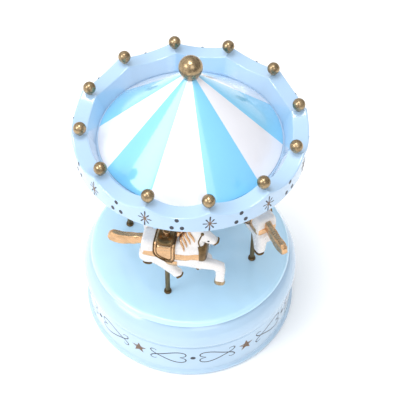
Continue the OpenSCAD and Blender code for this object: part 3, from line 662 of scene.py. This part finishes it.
class CAROUSEL_OT_roof(bpy.types.Operator):
    """Build the panelled cone"""
    bl_idname = "carousel.roof"
    bl_label = "Roof"

    def execute(self, context):
        colours, _ = chosen()
        bm = bmesh.new()
        rim, tip, rise = ROOF_RIM_R, ROOF_TIP_R, (ROOF_RIM_R - ROOF_TIP_R) * ROOF_SLOPE
        top_z = ROOF_RIM_Z + rise
        outline = soften([(rim - 2.6, BOARD_TOP, 0), (rim, BOARD_TOP, 0.2), (rim, ROOF_RIM_Z, 0.3),
                          (tip, top_z, 0.4), (1.7, top_z, 0), (1.7, top_z - 2.6, 0)], 4)
        middle = [(rim + (tip - rim) * t, ROOF_RIM_Z + rise * t) for t in (0.2, 0.4, 0.6, 0.8)]
        cut = next(i for i, (r, z) in enumerate(outline) if r < tip + 1)
        panel = 360 / ROOF_PANELS
        # the seams fall on the lathe's own steps, which start at the right
        lathe(bm, outline[:cut] + middle + outline[cut:], 180, ROOF_SEAM_ANGLE - 90 + panel * 3)
        for face in bm.faces:
            centre = face.calc_center_median()
            angle = math.degrees(math.atan2(centre.x, -centre.y))
            face.material_index = int((angle - ROOF_SEAM_ANGLE) // panel) % 2
        finish_piece("roof_cone", bm, "carousel",
                     [lacquer("White lacquer", colours.roof_white),
                      lacquer("Deep sky lacquer", colours.roof_blue)], ["canopy_roof"])
        return {"FINISHED"}


# ---------------------------------------------------------------- horses
# A horse is made once, standing on its pole at the origin: x forward, -y its outer side, z up.

BACK_Z = 77.0
OUTSIDE = 20            # how far out the rays start that find the skin
SKIN_VOXEL = 0.34
BARREL_VOXEL = 0.4
EYE_AT = (20.0, 88.9)
NOSTRIL_AT = (23.6, 87.2)
MUZZLE = (23.3, 87.1, -36)

# (forward, height, tilt of the path, half height, half width) for each length of the body
HAUNCH = [(-12.9, 71.6, 0, 2.2, 3.0), (-12.3, 71.6, 0, 3.4, 4.2), (-10, 71.9, 0, 4.5, 5.0),
          (-6, 73, 0, 5, 5.0)]
TORSO = [(-11.4, 77.3, 0, 5.8, 4.0), (-11.0, 77.0, 0, 7.2, 4.9), (-10.0, 76.8, 0, 7.8, 5.15),
         (-7, 76.5, 0, 8.0, 5.2), (-2, 76.3, 0, 7.9, 5.2), (3, 76.3, 0, 7.9, 5.1), (8, 76.6, 0, 8.0, 5.2),
         (12.5, 77.0, 0, 7.9, 5.2), (15.8, 77.4, 0, 7.6, 5.1), (17.9, 77.7, 0, 6.8, 4.6),
         (18.9, 77.9, 0, 5.0, 3.4)]
NECK = [(11.2, 80.5, 78, 6.8, 4.6), (12.3, 84.0, 76, 6.2, 4.2), (12.9, 87.2, 72, 5.4, 3.5),
        (13.5, 90.4, 66, 4.4, 2.9), (14.4, 93.3, 58, 3.4, 2.5), (15.4, 95.4, 52, 1.9, 1.6)]
HEAD = [(14.9, 93.2, -52, 2.6, 2.1), (16.8, 91.3, -48, 3.3, 2.5), (18.6, 89.6, -44, 3.1, 2.4),
        (20.4, 88.4, -40, 2.6, 2.1), (22.0, 87.6, -36, 2.1, 1.9), (23.3, 87.1, -34, 1.8, 1.9),
        (24.1, 86.8, -34, 1.3, 1.5)]
FORE_OUT = [(11, 73.0, 0, 3.7, 2.0), (15, 72.9, 0, 3.6, 2.1), (19.5, 73.0, -2, 3.1, 2.1),
            (23.2, 73.0, -8, 2.7, 2.0), (25.7, 72.0, -46, 3.1, 2.0), (26.2, 69.2, -86, 2.4, 1.9),
            (26.2, 66, -90, 2.2, 1.8), (26.1, 63.2, -90, 2.2, 1.8), (26.0, 61.2, -90, 2.3, 1.9)]
FORE_IN = [(12.5, 72.6, -8, 3.2, 2.0), (16.2, 71.2, -24, 2.8, 2.0), (18.9, 69.4, -52, 2.4, 1.9),
           (19.4, 67.2, -100, 2.2, 1.8), (18.0, 64.9, -132, 1.9, 1.7), (16.0, 63.0, -142, 1.8, 1.6),
           (14.6, 61.9, -142, 1.9, 1.7)]
HIND_OUT = [(-7.5, 75.0, -30, 5.2, 2.2), (-4.0, 72.0, -40, 4.4, 2.4), (-0.8, 68.9, -46, 3.4, 2.3),
            (1.9, 65.6, -48, 2.7, 2.1), (4.4, 62.9, -48, 2.4, 2.0), (6.2, 61.0, -48, 2.5, 2.0)]
HIND_IN = [(-8.4, 74, -92, 4.6, 2.4), (-9.0, 70.6, -94, 4.2, 2.6), (-9.6, 67.2, -94, 3.5, 2.6),
           (-9.9, 64.2, -92, 2.9, 2.4), (-10.0, 61.6, -90, 2.7, 2.3)]
TAIL = [(-9.8, 81.0, 188, 2.4, 1.5), (-13, 80.3, 186, 2.6, 1.7), (-16.5, 79.4, 185, 2.8, 1.75),
        (-20.5, 78.7, 182, 3.1, 1.75), (-24, 78.9, 174, 3.3, 1.7), (-26.2, 79.4, 168, 3.0, 1.6),
        (-27.4, 79.7, 164, 2.1, 1.3), (-27.95, 79.8, 164, 1.0, 0.8)]
# top, foot, tilt, half length, half width and sideways place of each hoof or sole
HOOVES = [((26.0, 62.5), (26.0, 60.05), -90, 2.35, 1.95, -3.0)]
SOLES = [((6.45, 60.7), (6.8, 60.3), -48, 2.0, 1.7, -3.0),
         ((-10.0, 60.5), (-10.0, 60.05), -90, 2.3, 2.0, 2.6),
         ((14.5, 61.7), (13.9, 61.2), -142, 1.75, 1.55, 3.0)]


def side_sections(rows, off=0.0):
    """Loft sections from rows of side-view measures; off is how far they stand to the left."""
    made = []
    for s, z, tilt, half_up, half_side in rows:
        t = math.radians(tilt)
        made.append((Vector((s, off, z)), Vector((0, 1, 0)), Vector((-math.sin(t), 0, math.cos(t))),
                     half_side, half_up))
    return made


def swell(bm, at, radius, push):
    """Raise or sink the skin round a point."""
    at = Vector(at)
    for vert in bm.verts:
        d = (vert.co - at).length / radius
        if d < 2.5:
            vert.co += vert.normal * (push * math.exp(-d * d))


def remeshed(bm, voxel):
    """Fuse overlapping shells into one skin."""
    mesh = bpy.data.meshes.new("rough")
    bm.to_mesh(mesh)
    bm.free()
    rough = bpy.data.objects.new("rough", mesh)
    bpy.context.collection.objects.link(rough)
    fuse = rough.modifiers.new("Fuse", "REMESH")
    fuse.mode = "VOXEL"
    fuse.voxel_size = voxel
    ready = bpy.data.meshes.new_from_object(rough.evaluated_get(bpy.context.evaluated_depsgraph_get()))
    bpy.data.objects.remove(rough)
    bpy.data.meshes.remove(mesh)
    fused = bmesh.new()
    fused.from_mesh(ready)
    bpy.data.meshes.remove(ready)
    return fused


def horse_skin():
    """The horse's white body, fused and carved."""
    bm = bmesh.new()
    loft(bm, side_sections(TORSO), 40, 4.6)
    loft(bm, side_sections(HAUNCH), 32, 3.0)
    loft(bm, side_sections(NECK), 32, 3.0)
    loft(bm, side_sections(HEAD), 28, 3.0)
    for leg, off in ((FORE_OUT, -2.9), (FORE_IN, 2.9), (HIND_OUT, -2.8), (HIND_IN, 2.5)):
        loft(bm, side_sections(leg, off), 28, 3.4)
    for side in (-1, 1):
        ear = [(Vector((15.2, side * 1.1, 94.6)), Vector((0, 1, 0)), Vector((1, 0, 0)), 0.8, 0.9),
               (Vector((15.3, side * 1.35, 96.2)), Vector((0, 1, 0)), Vector((1, 0, 0)), 0.65, 0.8),
               (Vector((15.6, side * 1.45, 97.6)), Vector((0, 1, 0)), Vector((1, 0, 0)), 0.2, 0.25)]
        loft(bm, ear, 14)
    bm = remeshed(bm, SKIN_VOXEL)
    relax(bm, bm.verts, 5)
    bm.normal_update()
    for side in (-1, 1):
        for s, z, off, radius, push in [
                (17.0, 89.6, 2.5, 1.5, 0.35), (20.0, 89.0, 2.2, 0.7, -0.3), (20.1, 90.2, 2.0, 0.8, 0.22),
                (23.5, 87.2, 1.7, 0.45, -0.35), (22.9, 86.0, 1.8, 0.5, -0.22), (12.5, 76.5, 5.1, 3.2, 0.35),
                (-8.4, 77.5, 5.2, 3.6, 0.35), (-3.2, 72.6, 5.0, 2.6, -0.35), (8.0, 72.5, 5.0, 2.6, -0.25),
                (14.4, 83.5, 4.2, 2.2, -0.25), (9.5, 87.0, 3.2, 2.0, -0.2)]:
            swell(bm, (s, side * off, z), radius, push)
    swell(bm, (25.4, -4.6, 72.0), 1.4, 0.3)
    swell(bm, (2.2, -4.6, 65.2), 1.4, 0.25)
    swell(bm, (19.6, 4.6, 68.2), 1.4, 0.3)
    swell(bm, (-12.8, 0, 71.5), 1.6, -0.9)
    bm.normal_update()
    return bm


class Skin:
    """Finds points on the horse's body to lay harness on."""

    def __init__(self, bm):
        self.tree = BVHTree.FromBMesh(bm)

    def under(self, start, toward):
        """The point and normal that a ray meets, or the nearest ones."""
        hit, normal, _, _ = self.tree.ray_cast(start, (toward - start).normalized())
        if hit is None:
            hit, normal, _, _ = self.tree.find_nearest(toward)
        return hit, normal

    def side(self, s, z, side):
        """The point on that side of the horse."""
        return self.under(Vector((s, side * OUTSIDE, z)), Vector((s, 0, z)))

    def line(self, dots, side, steps=6, lift=0.0):
        """A smooth line through (s, z) dots, laid on that side."""
        laid = [self.side(p.x, p.y, side) for p in flow(dots, steps)]
        return [(point + normal * lift, normal) for point, normal in laid]


def patch(bm, skin, ray, columns, rows, lift, thick=0.5):
    """A padded sheet on the skin: ray(u, v) gives start and target for u, v from -1 to 1."""
    made = bmesh.ops.create_grid(bm, x_segments=columns, y_segments=rows, size=1)["verts"]
    faces = list({f for v in made for f in v.link_faces})
    for vert in made:
        u, v = vert.co.x, vert.co.y
        hit, normal = skin.under(*ray(u, v))
        full = (1 - min(1, abs(u)) ** 10) * (1 - min(1, abs(v)) ** 10)
        vert.co = hit + normal * (lift * (0.35 + 0.65 * full))
    relax(bm, [v for v in made if not v.is_boundary], 2)
    first = faces[len(faces) // 2]
    first.normal_update()
    hit, normal = skin.tree.find_nearest(first.calc_center_median())[:2]
    if first.normal.dot(normal) < 0:
        bmesh.ops.reverse_faces(bm, faces=faces)
    shell = bmesh.ops.extrude_face_region(bm, geom=faces, use_keep_orig=True)["geom"]
    inner = [v for v in shell if isinstance(v, bmesh.types.BMVert)]
    for vert in inner:
        point, normal = skin.tree.find_nearest(vert.co)[:2]
        vert.co = point - normal * thick
    whole = list({f for v in made + inner for f in v.link_faces})
    bmesh.ops.recalc_face_normals(bm, faces=whole)


def torso_ray(s, angle):
    """A ray at the torso's middle, from that angle about it: -90 is from the outer side."""
    a = math.radians(angle)
    middle = Vector((s, 0, BACK_Z))
    return middle + Vector((0, math.sin(a), math.cos(a))) * OUTSIDE, middle


def girdle_ray(u, v, height, half_high):
    """A ray at the band round the rump: u runs from the outer shoulder round the tail to the inner one."""
    run, bend, turn_s = 23.0, 8.0, -5.5
    d = u * (run + bend)
    if abs(d) <= bend:
        a = math.radians(d / bend * 90)
        middle = Vector((turn_s, 0, height(-12) + v * half_high))
        return middle + Vector((-math.cos(a), math.sin(a), 0)) * OUTSIDE, middle
    s = turn_s + (abs(d) - bend)
    z = height(s) + v * half_high
    return Vector((s, math.copysign(OUTSIDE, d), z)), Vector((s, 0, z))


def cloth_ray(u, v, trim):
    """A ray at the saddle cloth: v runs over the back, u along the horse; trim mm are left off its edge."""
    drop = abs(v)
    back = -5.5 + 6.2 * max(0.0, (drop - 0.45) / 0.55) ** 2.6
    front = 5.0 - 1.2 * max(0.0, (drop - 0.8) / 0.2) ** 2
    middle, half = (front + back) / 2, (front - back) / 2 - trim
    return torso_ray(middle + u * half, v * (128 - trim * 7))


def girth_ray(u, v, side):
    """A ray at the girth under the saddle cloth's tip."""
    z = 71.2 - 2.2 * v
    s = 3.2 + 2.6 * u * (1 - 0.25 * v) + 0.6 * v
    return Vector((s, side * OUTSIDE, z)), Vector((s, 0, z))


def horse_gold(skin, barrel, lift):
    """Tail, mane, straps and saddle cloth."""
    bm = bmesh.new()
    tail = bmesh.new()
    loft(tail, side_sections(flow(TAIL, 5)), 48, 4.5)
    for vert in tail.verts:
        away = math.copysign(1, vert.co.y) if abs(vert.co.y) > 0.3 else 0
        hair = math.sin((vert.co.z + 0.12 * vert.co.x) * 3.1) * 0.1 + math.sin(vert.co.z * 5.3 + 1) * 0.05
        vert.co.y += away * hair
    join(bm, tail)
    crest = [(5.4, 87.8), (6.2, 89.8), (8.0, 92.6), (10.6, 95.2), (13.4, 96.4)]
    line = flow(crest, 5)
    ridge = [(Vector((p.x, 0, p.y)), Vector((0, 1, 0)), Vector((-0.8, 0, 0.6)),
              1.35 + 0.3 * math.sin(k * 0.9), 0.95) for k, p in enumerate(line)]
    loft(bm, ridge, 16)
    for side in (-1, 1):
        for s, z in [(5.9, 88.2), (7.0, 90.5), (8.5, 92.5), (10.4, 94.1)]:
            dots = [(s, z), (s + 1.1, z - 1.5), (s + 2.3, z - 3.1), (s + 3.1, z - 4.7), (s + 3.4, z - 5.8)]
            path = skin.line(dots, side, 5, 0.2)
            count = len(path) - 1
            widths = [0.8 * (1 - 0.85 * (i / count) ** 2.2) for i in range(count + 1)]
            sweep(bm, path, widths, 0.45, 12)
    height = [(-12, 77.0), (-6, 77.0), (5, 77.0), (10, 77.6), (14, 79.0), (18, 79.6)]

    def band_z(s):
        for (a, za), (b, zb) in zip(height, height[1:]):
            if s <= b:
                return za + (zb - za) * max(0, (s - a) / (b - a))
        return height[-1][1]

    patch(bm, barrel, lambda u, v: girdle_ray(u, v, band_z, 2.05), 110, 10, lift)
    patch(bm, barrel, lambda u, v: cloth_ray(u, v, 0), 26, 90, lift * 1.9)
    for side in (-1, 1):
        patch(bm, barrel, lambda u, v: girth_ray(u, v, side), 14, 14, lift)
    skirt = [(-3.6, 83.0, 0, 1.2, 5.4), (-3.1, 82.9, 0, 1.7, 6.1), (-1.5, 82.8, 0, 1.8, 6.25),
             (1.2, 82.8, 0, 1.8, 6.25), (2.9, 82.9, 0, 1.7, 6.1), (3.4, 83.0, 0, 1.2, 5.4)]
    loft(bm, side_sections(skirt), 40, 4)
    return bm


def edge_loop(skin, trim, lift):
    """Points round the saddle cloth, trim mm inside its edge."""
    corners = [(1, v / 40) for v in range(-40, 41)] + [(u / 4, 1) for u in range(3, -4, -1)]
    corners += [(-1, -v / 40) for v in range(-40, 41)] + [(u / 4, -1) for u in range(-3, 4)]
    path = []
    for u, v in corners:
        hit, normal = skin.under(*cloth_ray(u, v, trim))
        path.append((hit + normal * lift, normal))
    return path


def horse_dark(skin, barrel, lift):
    """Saddle, piping, breastplate, noseband and pole rings; the bronze on the seat and breastplate is painted
    shade.
    """
    bm = bmesh.new()
    # The seat is painted shade: it is made dark bronze to stand in for gold paint that looks dark where it
    # reflects the canopy's shaded underside.
    seat = [(-3.8, 85.2, 0, 1.4, 3.6), (-3.4, 85.5, 0, 1.9, 4.8), (-2.4, 85.1, 0, 1.6, 5.2),
            (-1.0, 84.8, 0, 1.35, 5.3), (1.2, 84.8, 0, 1.35, 5.3), (2.7, 85.0, 0, 1.6, 5.1),
            (3.7, 85.3, 0, 1.9, 4.4), (4.3, 85.5, 0, 1.4, 3.0), (4.5, 85.6, 0, 0.8, 1.6)]
    loft(bm, side_sections(flow(seat, 4)), 36, 2.8)
    sweep(bm, edge_loop(barrel, 0.3, lift * 1.9), 0.27, 0.32, 8, True)
    sweep(bm, edge_loop(barrel, 1.7, lift * 1.9), 0.24, 0.3, 8, True)

    def plate(u, v):
        a = math.radians(u * 62)
        z = 81.2 + 4.1 * v - 1.4 * (1 - v) / 2 * math.cos(a * 1.3)
        middle = Vector((13.5, 0, z))
        return middle + Vector((math.cos(a), math.sin(a), 0)) * OUTSIDE, middle

    # The breastplate is painted shade in the same way: dark bronze for gold paint that faces up and reflects
    # the canopy's shaded underside.
    patch(bm, barrel, plate, 36, 16, lift * 1.6)
    s, z, tilt = MUZZLE
    t = math.radians(tilt)
    ring = []
    for k in range(28):
        a = math.tau * k / 28
        n = Vector((-math.sin(t) * math.sin(a), math.cos(a), math.cos(t) * math.sin(a)))
        hit, normal = skin.under(Vector((s, 0, z)) + n * 3.4, Vector((s, 0, z)))
        ring.append((hit + normal * 0.12, normal))
    sweep(bm, ring, 0.55, 0.24, 8, True)
    for side in (-1, 1):
        ball(bm, skin.side(17.2, 93.4, side)[0], 0.8)
        path = skin.line([(17.2, 93.6), (16.2, 90.6), (15.6, 88.0), (16.4, 85.0)], side, 5, 0.08)
        sweep(bm, path, 0.34, 0.26, 8)
    one = bmesh.new()
    lathe(one, soften([(1.25, 85.6, 0), (2.2, 85.6, 0.2), (2.2, 86.4, 0.35), (1.25, 86.5, 0.1)]), 28)
    join(bm, one)
    return bm


def ball(bm, centre, radius):
    """A small ball."""
    made = bmesh.ops.create_icosphere(bm, subdivisions=3, radius=radius)["verts"]
    bmesh.ops.translate(bm, verts=made, vec=centre)


def horse_hooves(marks):
    """Hooves or soles, flared toward the ground."""
    bm = bmesh.new()
    for (s0, z0), (s1, z1), tilt, up, side, off in marks:
        rows = [(s0 + (s1 - s0) * t, z0 + (z1 - z0) * t, tilt, up * f, side * f)
                for t, f in ((0, 0.9), (0.12, 1.02), (0.5, 1.06), (0.92, 1.14), (1, 1.06))]
        loft(bm, side_sections(rows, off), 24, 2.3)
    return bm


def pole_collar():
    """The copper-coloured collar where the pole leaves the saddle."""
    bm = bmesh.new()
    lathe(bm, soften([(1.22, 86.3, 0), (1.75, 86.3, 0.1), (1.6, 89.2, 0.3), (1.22, 89.2, 0.1)]), 32)
    return bm


def horse_eyes(skin):
    """Eyes and nostrils."""
    bm = bmesh.new()
    for side in (-1, 1):
        for (s, z), radius in ((EYE_AT, 0.75), (NOSTRIL_AT, 0.3)):
            at, normal = skin.side(s, z, side)
            ball(bm, at - normal * radius * 0.45, radius)
    return bm


class CAROUSEL_OT_horses(bpy.types.Operator):
    """Carve one horse and stand a copy of it on each pole"""
    bl_idname = "carousel.horses"
    bl_label = "Horses"

    def execute(self, context):
        _, sizes = chosen()
        lift = sizes.strap_t / MM
        body = horse_skin()
        skin = Skin(body)
        trunk = bmesh.new()
        loft(trunk, side_sections(TORSO), 40, 4.6)
        loft(trunk, side_sections(NECK), 32, 3.0)
        trunk = remeshed(trunk, BARREL_VOXEL)
        relax(trunk, trunk.verts, 6)
        trunk.normal_update()
        barrel = Skin(trunk)
        trunk.free()
        # black enamel dotted on with a brush, wet and round
        eye = surface("Black enamel", linear("15120f"), linear("2a241f"), patch=1, grain=0.4, relief=0.003,
                      rough=0.18, spread=0.04, coat=0.5)
        parts = [("body", body, [resin()]), ("trim", horse_gold(skin, barrel, lift), [harness_paint()]),
                 ("saddle", horse_dark(skin, barrel, lift), [bronze_and_painted_shade()]),
                 ("hooves", horse_hooves(HOOVES), [antique_gold()]),
                 ("soles", horse_hooves(SOLES), [bronze_and_painted_shade()]),
                 ("collar", pole_collar(), [harness_paint()]),
                 ("eyes", horse_eyes(skin), [eye])]
        for label, bm, materials in parts:
            bmesh.ops.scale(bm, vec=(MM, MM, MM), verts=bm.verts)
            shared = bpy.data.meshes.new("horse_" + label)
            bm.to_mesh(shared)
            bm.free()
            for i, (place, yaw) in enumerate(zip(POLE_PLACES, HORSE_YAWS)):
                mesh = shared.copy()
                mesh.transform(Matrix.Translation(around(POLE_CIRCLE_R * MM, place))
                               @ Matrix.Rotation(math.radians(place + yaw), 4, "Z"))
                finish_mesh(f"horse_{i + 1}_{label}", mesh, "carousel", materials,
                            [f"horse_{i + 1}"] if label == "body" else (), 60)
            bpy.data.meshes.remove(shared)
        return {"FINISHED"}


# ---------------------------------------------------------------- underside and movement

class CAROUSEL_OT_feet(bpy.types.Operator):
    """Mould the four rubber feet"""
    bl_idname = "carousel.feet"
    bl_label = "Rubber feet"

    def execute(self, context):
        bm = bmesh.new()
        for i in range(4):
            one = bmesh.new()
            lathe(one, soften([(0, 0.25, 0), (2.6, 0.25, 0.2), (2.9, 0, 0.1), (PAD_R - 0.3, 0, 0.3),
                               (PAD_R, 0.5, 0.2), (PAD_R - 0.1, 1.2, 0), (0, 1.2, 0)]), 48)
            bmesh.ops.translate(one, verts=one.verts, vec=around(PAD_CIRCLE_R, PAD_ANGLE + 90 * i))
            join(bm, one)
        # moulded rubber: black and matt, with a faint bloom
        rubber = surface("Moulded rubber", linear("1d1d1e"), linear("2c2c2d"), patch=3, grain=0.3,
                         relief=0.02, rough=0.8, spread=0.08)
        finish_piece("rubber_feet", bm, "base", [rubber], ["foot_pads"])
        return {"FINISHED"}


class CAROUSEL_OT_movement(bpy.types.Operator):
    """Give the parts that stay as they are machined, moulded and pressed finishes"""
    bl_idname = "carousel.movement"
    bl_label = "Movement finishes"

    def execute(self, context):
        colours, _ = chosen()
        finishes = {
            # injection-moulded ABS: matt, with a spark-eroded texture
            "bottom_black": surface(
                "Textured black ABS", linear("1b1b1d"), linear("29292b"), patch=6, grain=0.35,
                relief=0.03, rough=0.62, spread=0.08),
            # pressed wool felt: soft and fibrous, with no shine
            "washer_felt": surface(
                "Pressed wool felt", linear("e6e3da"), linear("cfcabd"), patch=1.2, grain=0.25,
                relief=0.12, rough=0.92, spread=0.05, specular=0.1),
            # die-cast zinc, tumbled to a satin grey
            "bedplate_zinc": surface(
                "Tumbled zinc casting", linear("a9abae"), linear("8f9195"), patch=5, grain=0.4,
                relief=0.02, rough=0.42, spread=0.08, metal=1.0),
            # turned and stamped brass, faintly lined and bright
            "gear_brass": surface(
                "Turned brass", linear("d3ad62"), linear("b58d46"), patch=3, grain=0.3,
                relief=0.01, rough=0.28, spread=0.07, metal=1.0),
            # hardened spring steel, ground to a cold streaky grey
            "spring_steel": surface(
                "Ground spring steel", linear("b9bec6"), linear("8e949e"), patch=2, grain=0.3,
                relief=0.008, rough=0.3, spread=0.08, metal=1.0,
                stretch=(1, 0.2, 1)),
            # nickel-plated steel: smooth, warm and bright
            "screw_steel": surface(
                "Nickel-plated steel", linear("c4c4c2"), linear("a8a7a4"), patch=2, grain=0.3,
                relief=0.006, rough=0.24, spread=0.06, metal=1.0),
            # moulded nylon: milky and slightly waxy
            "worm_wheel_nylon": surface(
                "Moulded nylon", linear("e9e6da"), linear("dcd8c8"), patch=3, grain=0.4,
                relief=0.006, rough=0.45, spread=0.05, ior=1.53),
            # moulded acetal: black with a dull sheen
            "fan_black": surface(
                "Moulded black acetal", linear("17171a"), linear("242428"), patch=2, grain=0.3,
                relief=0.006, rough=0.42, spread=0.06),
            # synthetic ruby: deep red and polished
            "jewel_red": surface(
                "Synthetic ruby", linear("8e0f1c"), linear("6b0914"), patch=1, grain=0.3,
                relief=0.001, rough=0.08, spread=0.02, ior=1.77),
            # sprayed white lacquer, as on the roof
            "canopy_white": lacquer("White lacquer", colours.roof_white),
        }
        for row in frame["record"]["subparts"]:
            finish = finishes.get(row["material_slot"])
            # The board is given the crown's darkened blue in place of its white, as painted shade in the gap
            # under the roof's rim.
            if row["node"] == "canopy_board":
                finish = lacquer("Sky blue lacquer on the crown", colours.crown_blue)
            node = frame["nodes"].get(row["node"])
            if finish is None or node is None:
                continue
            if node.material_slots:
                for held in node.material_slots:
                    held.material = finish
            else:
                node.data.materials.append(finish)
        return {"FINISHED"}


# ---------------------------------------------------------------- stage

SKY_TOWARD = (-0.8, -0.15, 0.58)      # the side that the studio's soft light comes from
CAMERA_AT = (0, -0.3311, 0.4737)      # metres
CAMERA_TURN = (50.39, 0.82, 0.80)     # down, to the right, and tilted, in degrees
LENS = 95.8
SENSOR = 36


def softbox(name, at, toward, size, power):
    """A square area light aimed at a point, in metres and watts."""
    lamp = bpy.data.lights.new(name, "AREA")
    lamp.shape = "SQUARE"
    lamp.size = size
    lamp.energy = power
    held = bpy.data.objects.new(name, lamp)
    held.location = at
    held.rotation_euler = (Vector(toward) - Vector(at)).to_track_quat("-Z", "Y").to_euler()
    bpy.context.collection.objects.link(held)


class CAROUSEL_OT_stage(bpy.types.Operator):
    """Lay a pale floor and set the lights and the camera"""
    bl_idname = "carousel.stage"
    bl_label = "Floor, lights and camera"

    def execute(self, context):
        scene = context.scene
        bm = bmesh.new()
        bmesh.ops.create_grid(bm, x_segments=1, y_segments=1, size=4)
        mesh = bpy.data.meshes.new("floor")
        bm.to_mesh(mesh)
        bm.free()
        # matt white card: even and without shine
        mesh.materials.append(surface("Matt white card", linear("ffffff"), linear("fcfcfd"), patch=60,
                                      grain=2, relief=0.01, rough=0.8, spread=0.03, specular=0.1))
        floor = bpy.data.objects.new("floor", mesh)
        scene.collection.objects.link(floor)

        world = bpy.data.worlds.new("Studio")
        world.use_nodes = True
        tree = world.node_tree
        tree.nodes.clear()
        ray = add(tree, "ShaderNodeTexCoord")
        lean = add(tree, "ShaderNodeVectorMath", {0: ray.outputs["Generated"], 1: SKY_TOWARD},
                   operation="DOT_PRODUCT")
        glow = add(tree, "ShaderNodeMapRange", {
            "Value": lean.outputs["Value"], "From Min": -0.7, "From Max": 0.9, "To Min": 0.5, "To Max": 1.12})
        back = add(tree, "ShaderNodeBackground", {"Color": (0.97, 0.985, 1, 1), "Strength": glow.outputs[0]})
        add(tree, "ShaderNodeOutputWorld", {"Surface": back.outputs[0]})
        scene.world = world

        softbox("Key", (-0.95, -0.45, 0.95), (0, 0, 0.08), 0.6, 5.4)
        softbox("Front", (0.25, -0.85, 0.95), (0, 0, 0.05), 0.5, 1.5)
        softbox("Overhead", (-0.12, -0.1, 1.25), (0, 0, 0.08), 0.42, 5)

        lens = bpy.data.cameras.new("Camera")
        lens.lens = LENS
        lens.sensor_width = SENSOR
        lens.clip_start = 0.01
        pitch, yaw, roll = (math.radians(v) for v in CAMERA_TURN)
        ahead = Vector((math.sin(yaw) * math.cos(pitch), math.cos(yaw) * math.cos(pitch), -math.sin(pitch)))
        right = Vector((math.cos(yaw), -math.sin(yaw), 0))
        up = right.cross(ahead)
        rolled = right * math.cos(roll) + up * math.sin(roll)
        up = up * math.cos(roll) - right * math.sin(roll)
        turned = Matrix((rolled, up, -ahead)).transposed().to_4x4()
        camera = bpy.data.objects.new("Camera", lens)
        camera.matrix_world = Matrix.Translation(CAMERA_AT) @ turned
        scene.collection.objects.link(camera)
        scene.camera = camera
        scene.view_settings.view_transform = "Standard"
        return {"FINISHED"}


OPERATORS = [CAROUSEL_OT_base, CAROUSEL_OT_band_print, CAROUSEL_OT_turntable, CAROUSEL_OT_crown,
             CAROUSEL_OT_crown_print, CAROUSEL_OT_balls, CAROUSEL_OT_roof, CAROUSEL_OT_horses,
             CAROUSEL_OT_feet, CAROUSEL_OT_movement, CAROUSEL_OT_stage]


class CAROUSEL_PT_panel(bpy.types.Panel):
    """Sizes, colours and pieces of the carousel"""
    bl_idname = "CAROUSEL_PT_panel"
    bl_label = "Carousel music box"
    bl_space_type = "VIEW_3D"
    bl_region_type = "UI"
    bl_category = "Carousel"

    def draw(self, context):
        for group in (context.scene.carousel_colours, context.scene.carousel_sizes):
            column = self.layout.column()
            for key in group.__annotations__:
                column.prop(group, key)
        for operator in OPERATORS:
            self.layout.operator(operator.bl_idname)


CLASSES = [CarouselColours, CarouselSizes, *OPERATORS, CAROUSEL_PT_panel]


def register():
    for cls in CLASSES:
        bpy.utils.register_class(cls)
    bpy.types.Scene.carousel_colours = bpy.props.PointerProperty(type=CarouselColours)
    bpy.types.Scene.carousel_sizes = bpy.props.PointerProperty(type=CarouselSizes)


def unregister():
    del bpy.types.Scene.carousel_colours
    del bpy.types.Scene.carousel_sizes
    for cls in reversed(CLASSES):
        bpy.utils.unregister_class(cls)


def main():
    """Build every piece in order."""
    register()
    for operator in OPERATORS:
        getattr(bpy.ops.carousel, operator.bl_idname.split(".")[1])()


if __name__ == "__main__":
    main()
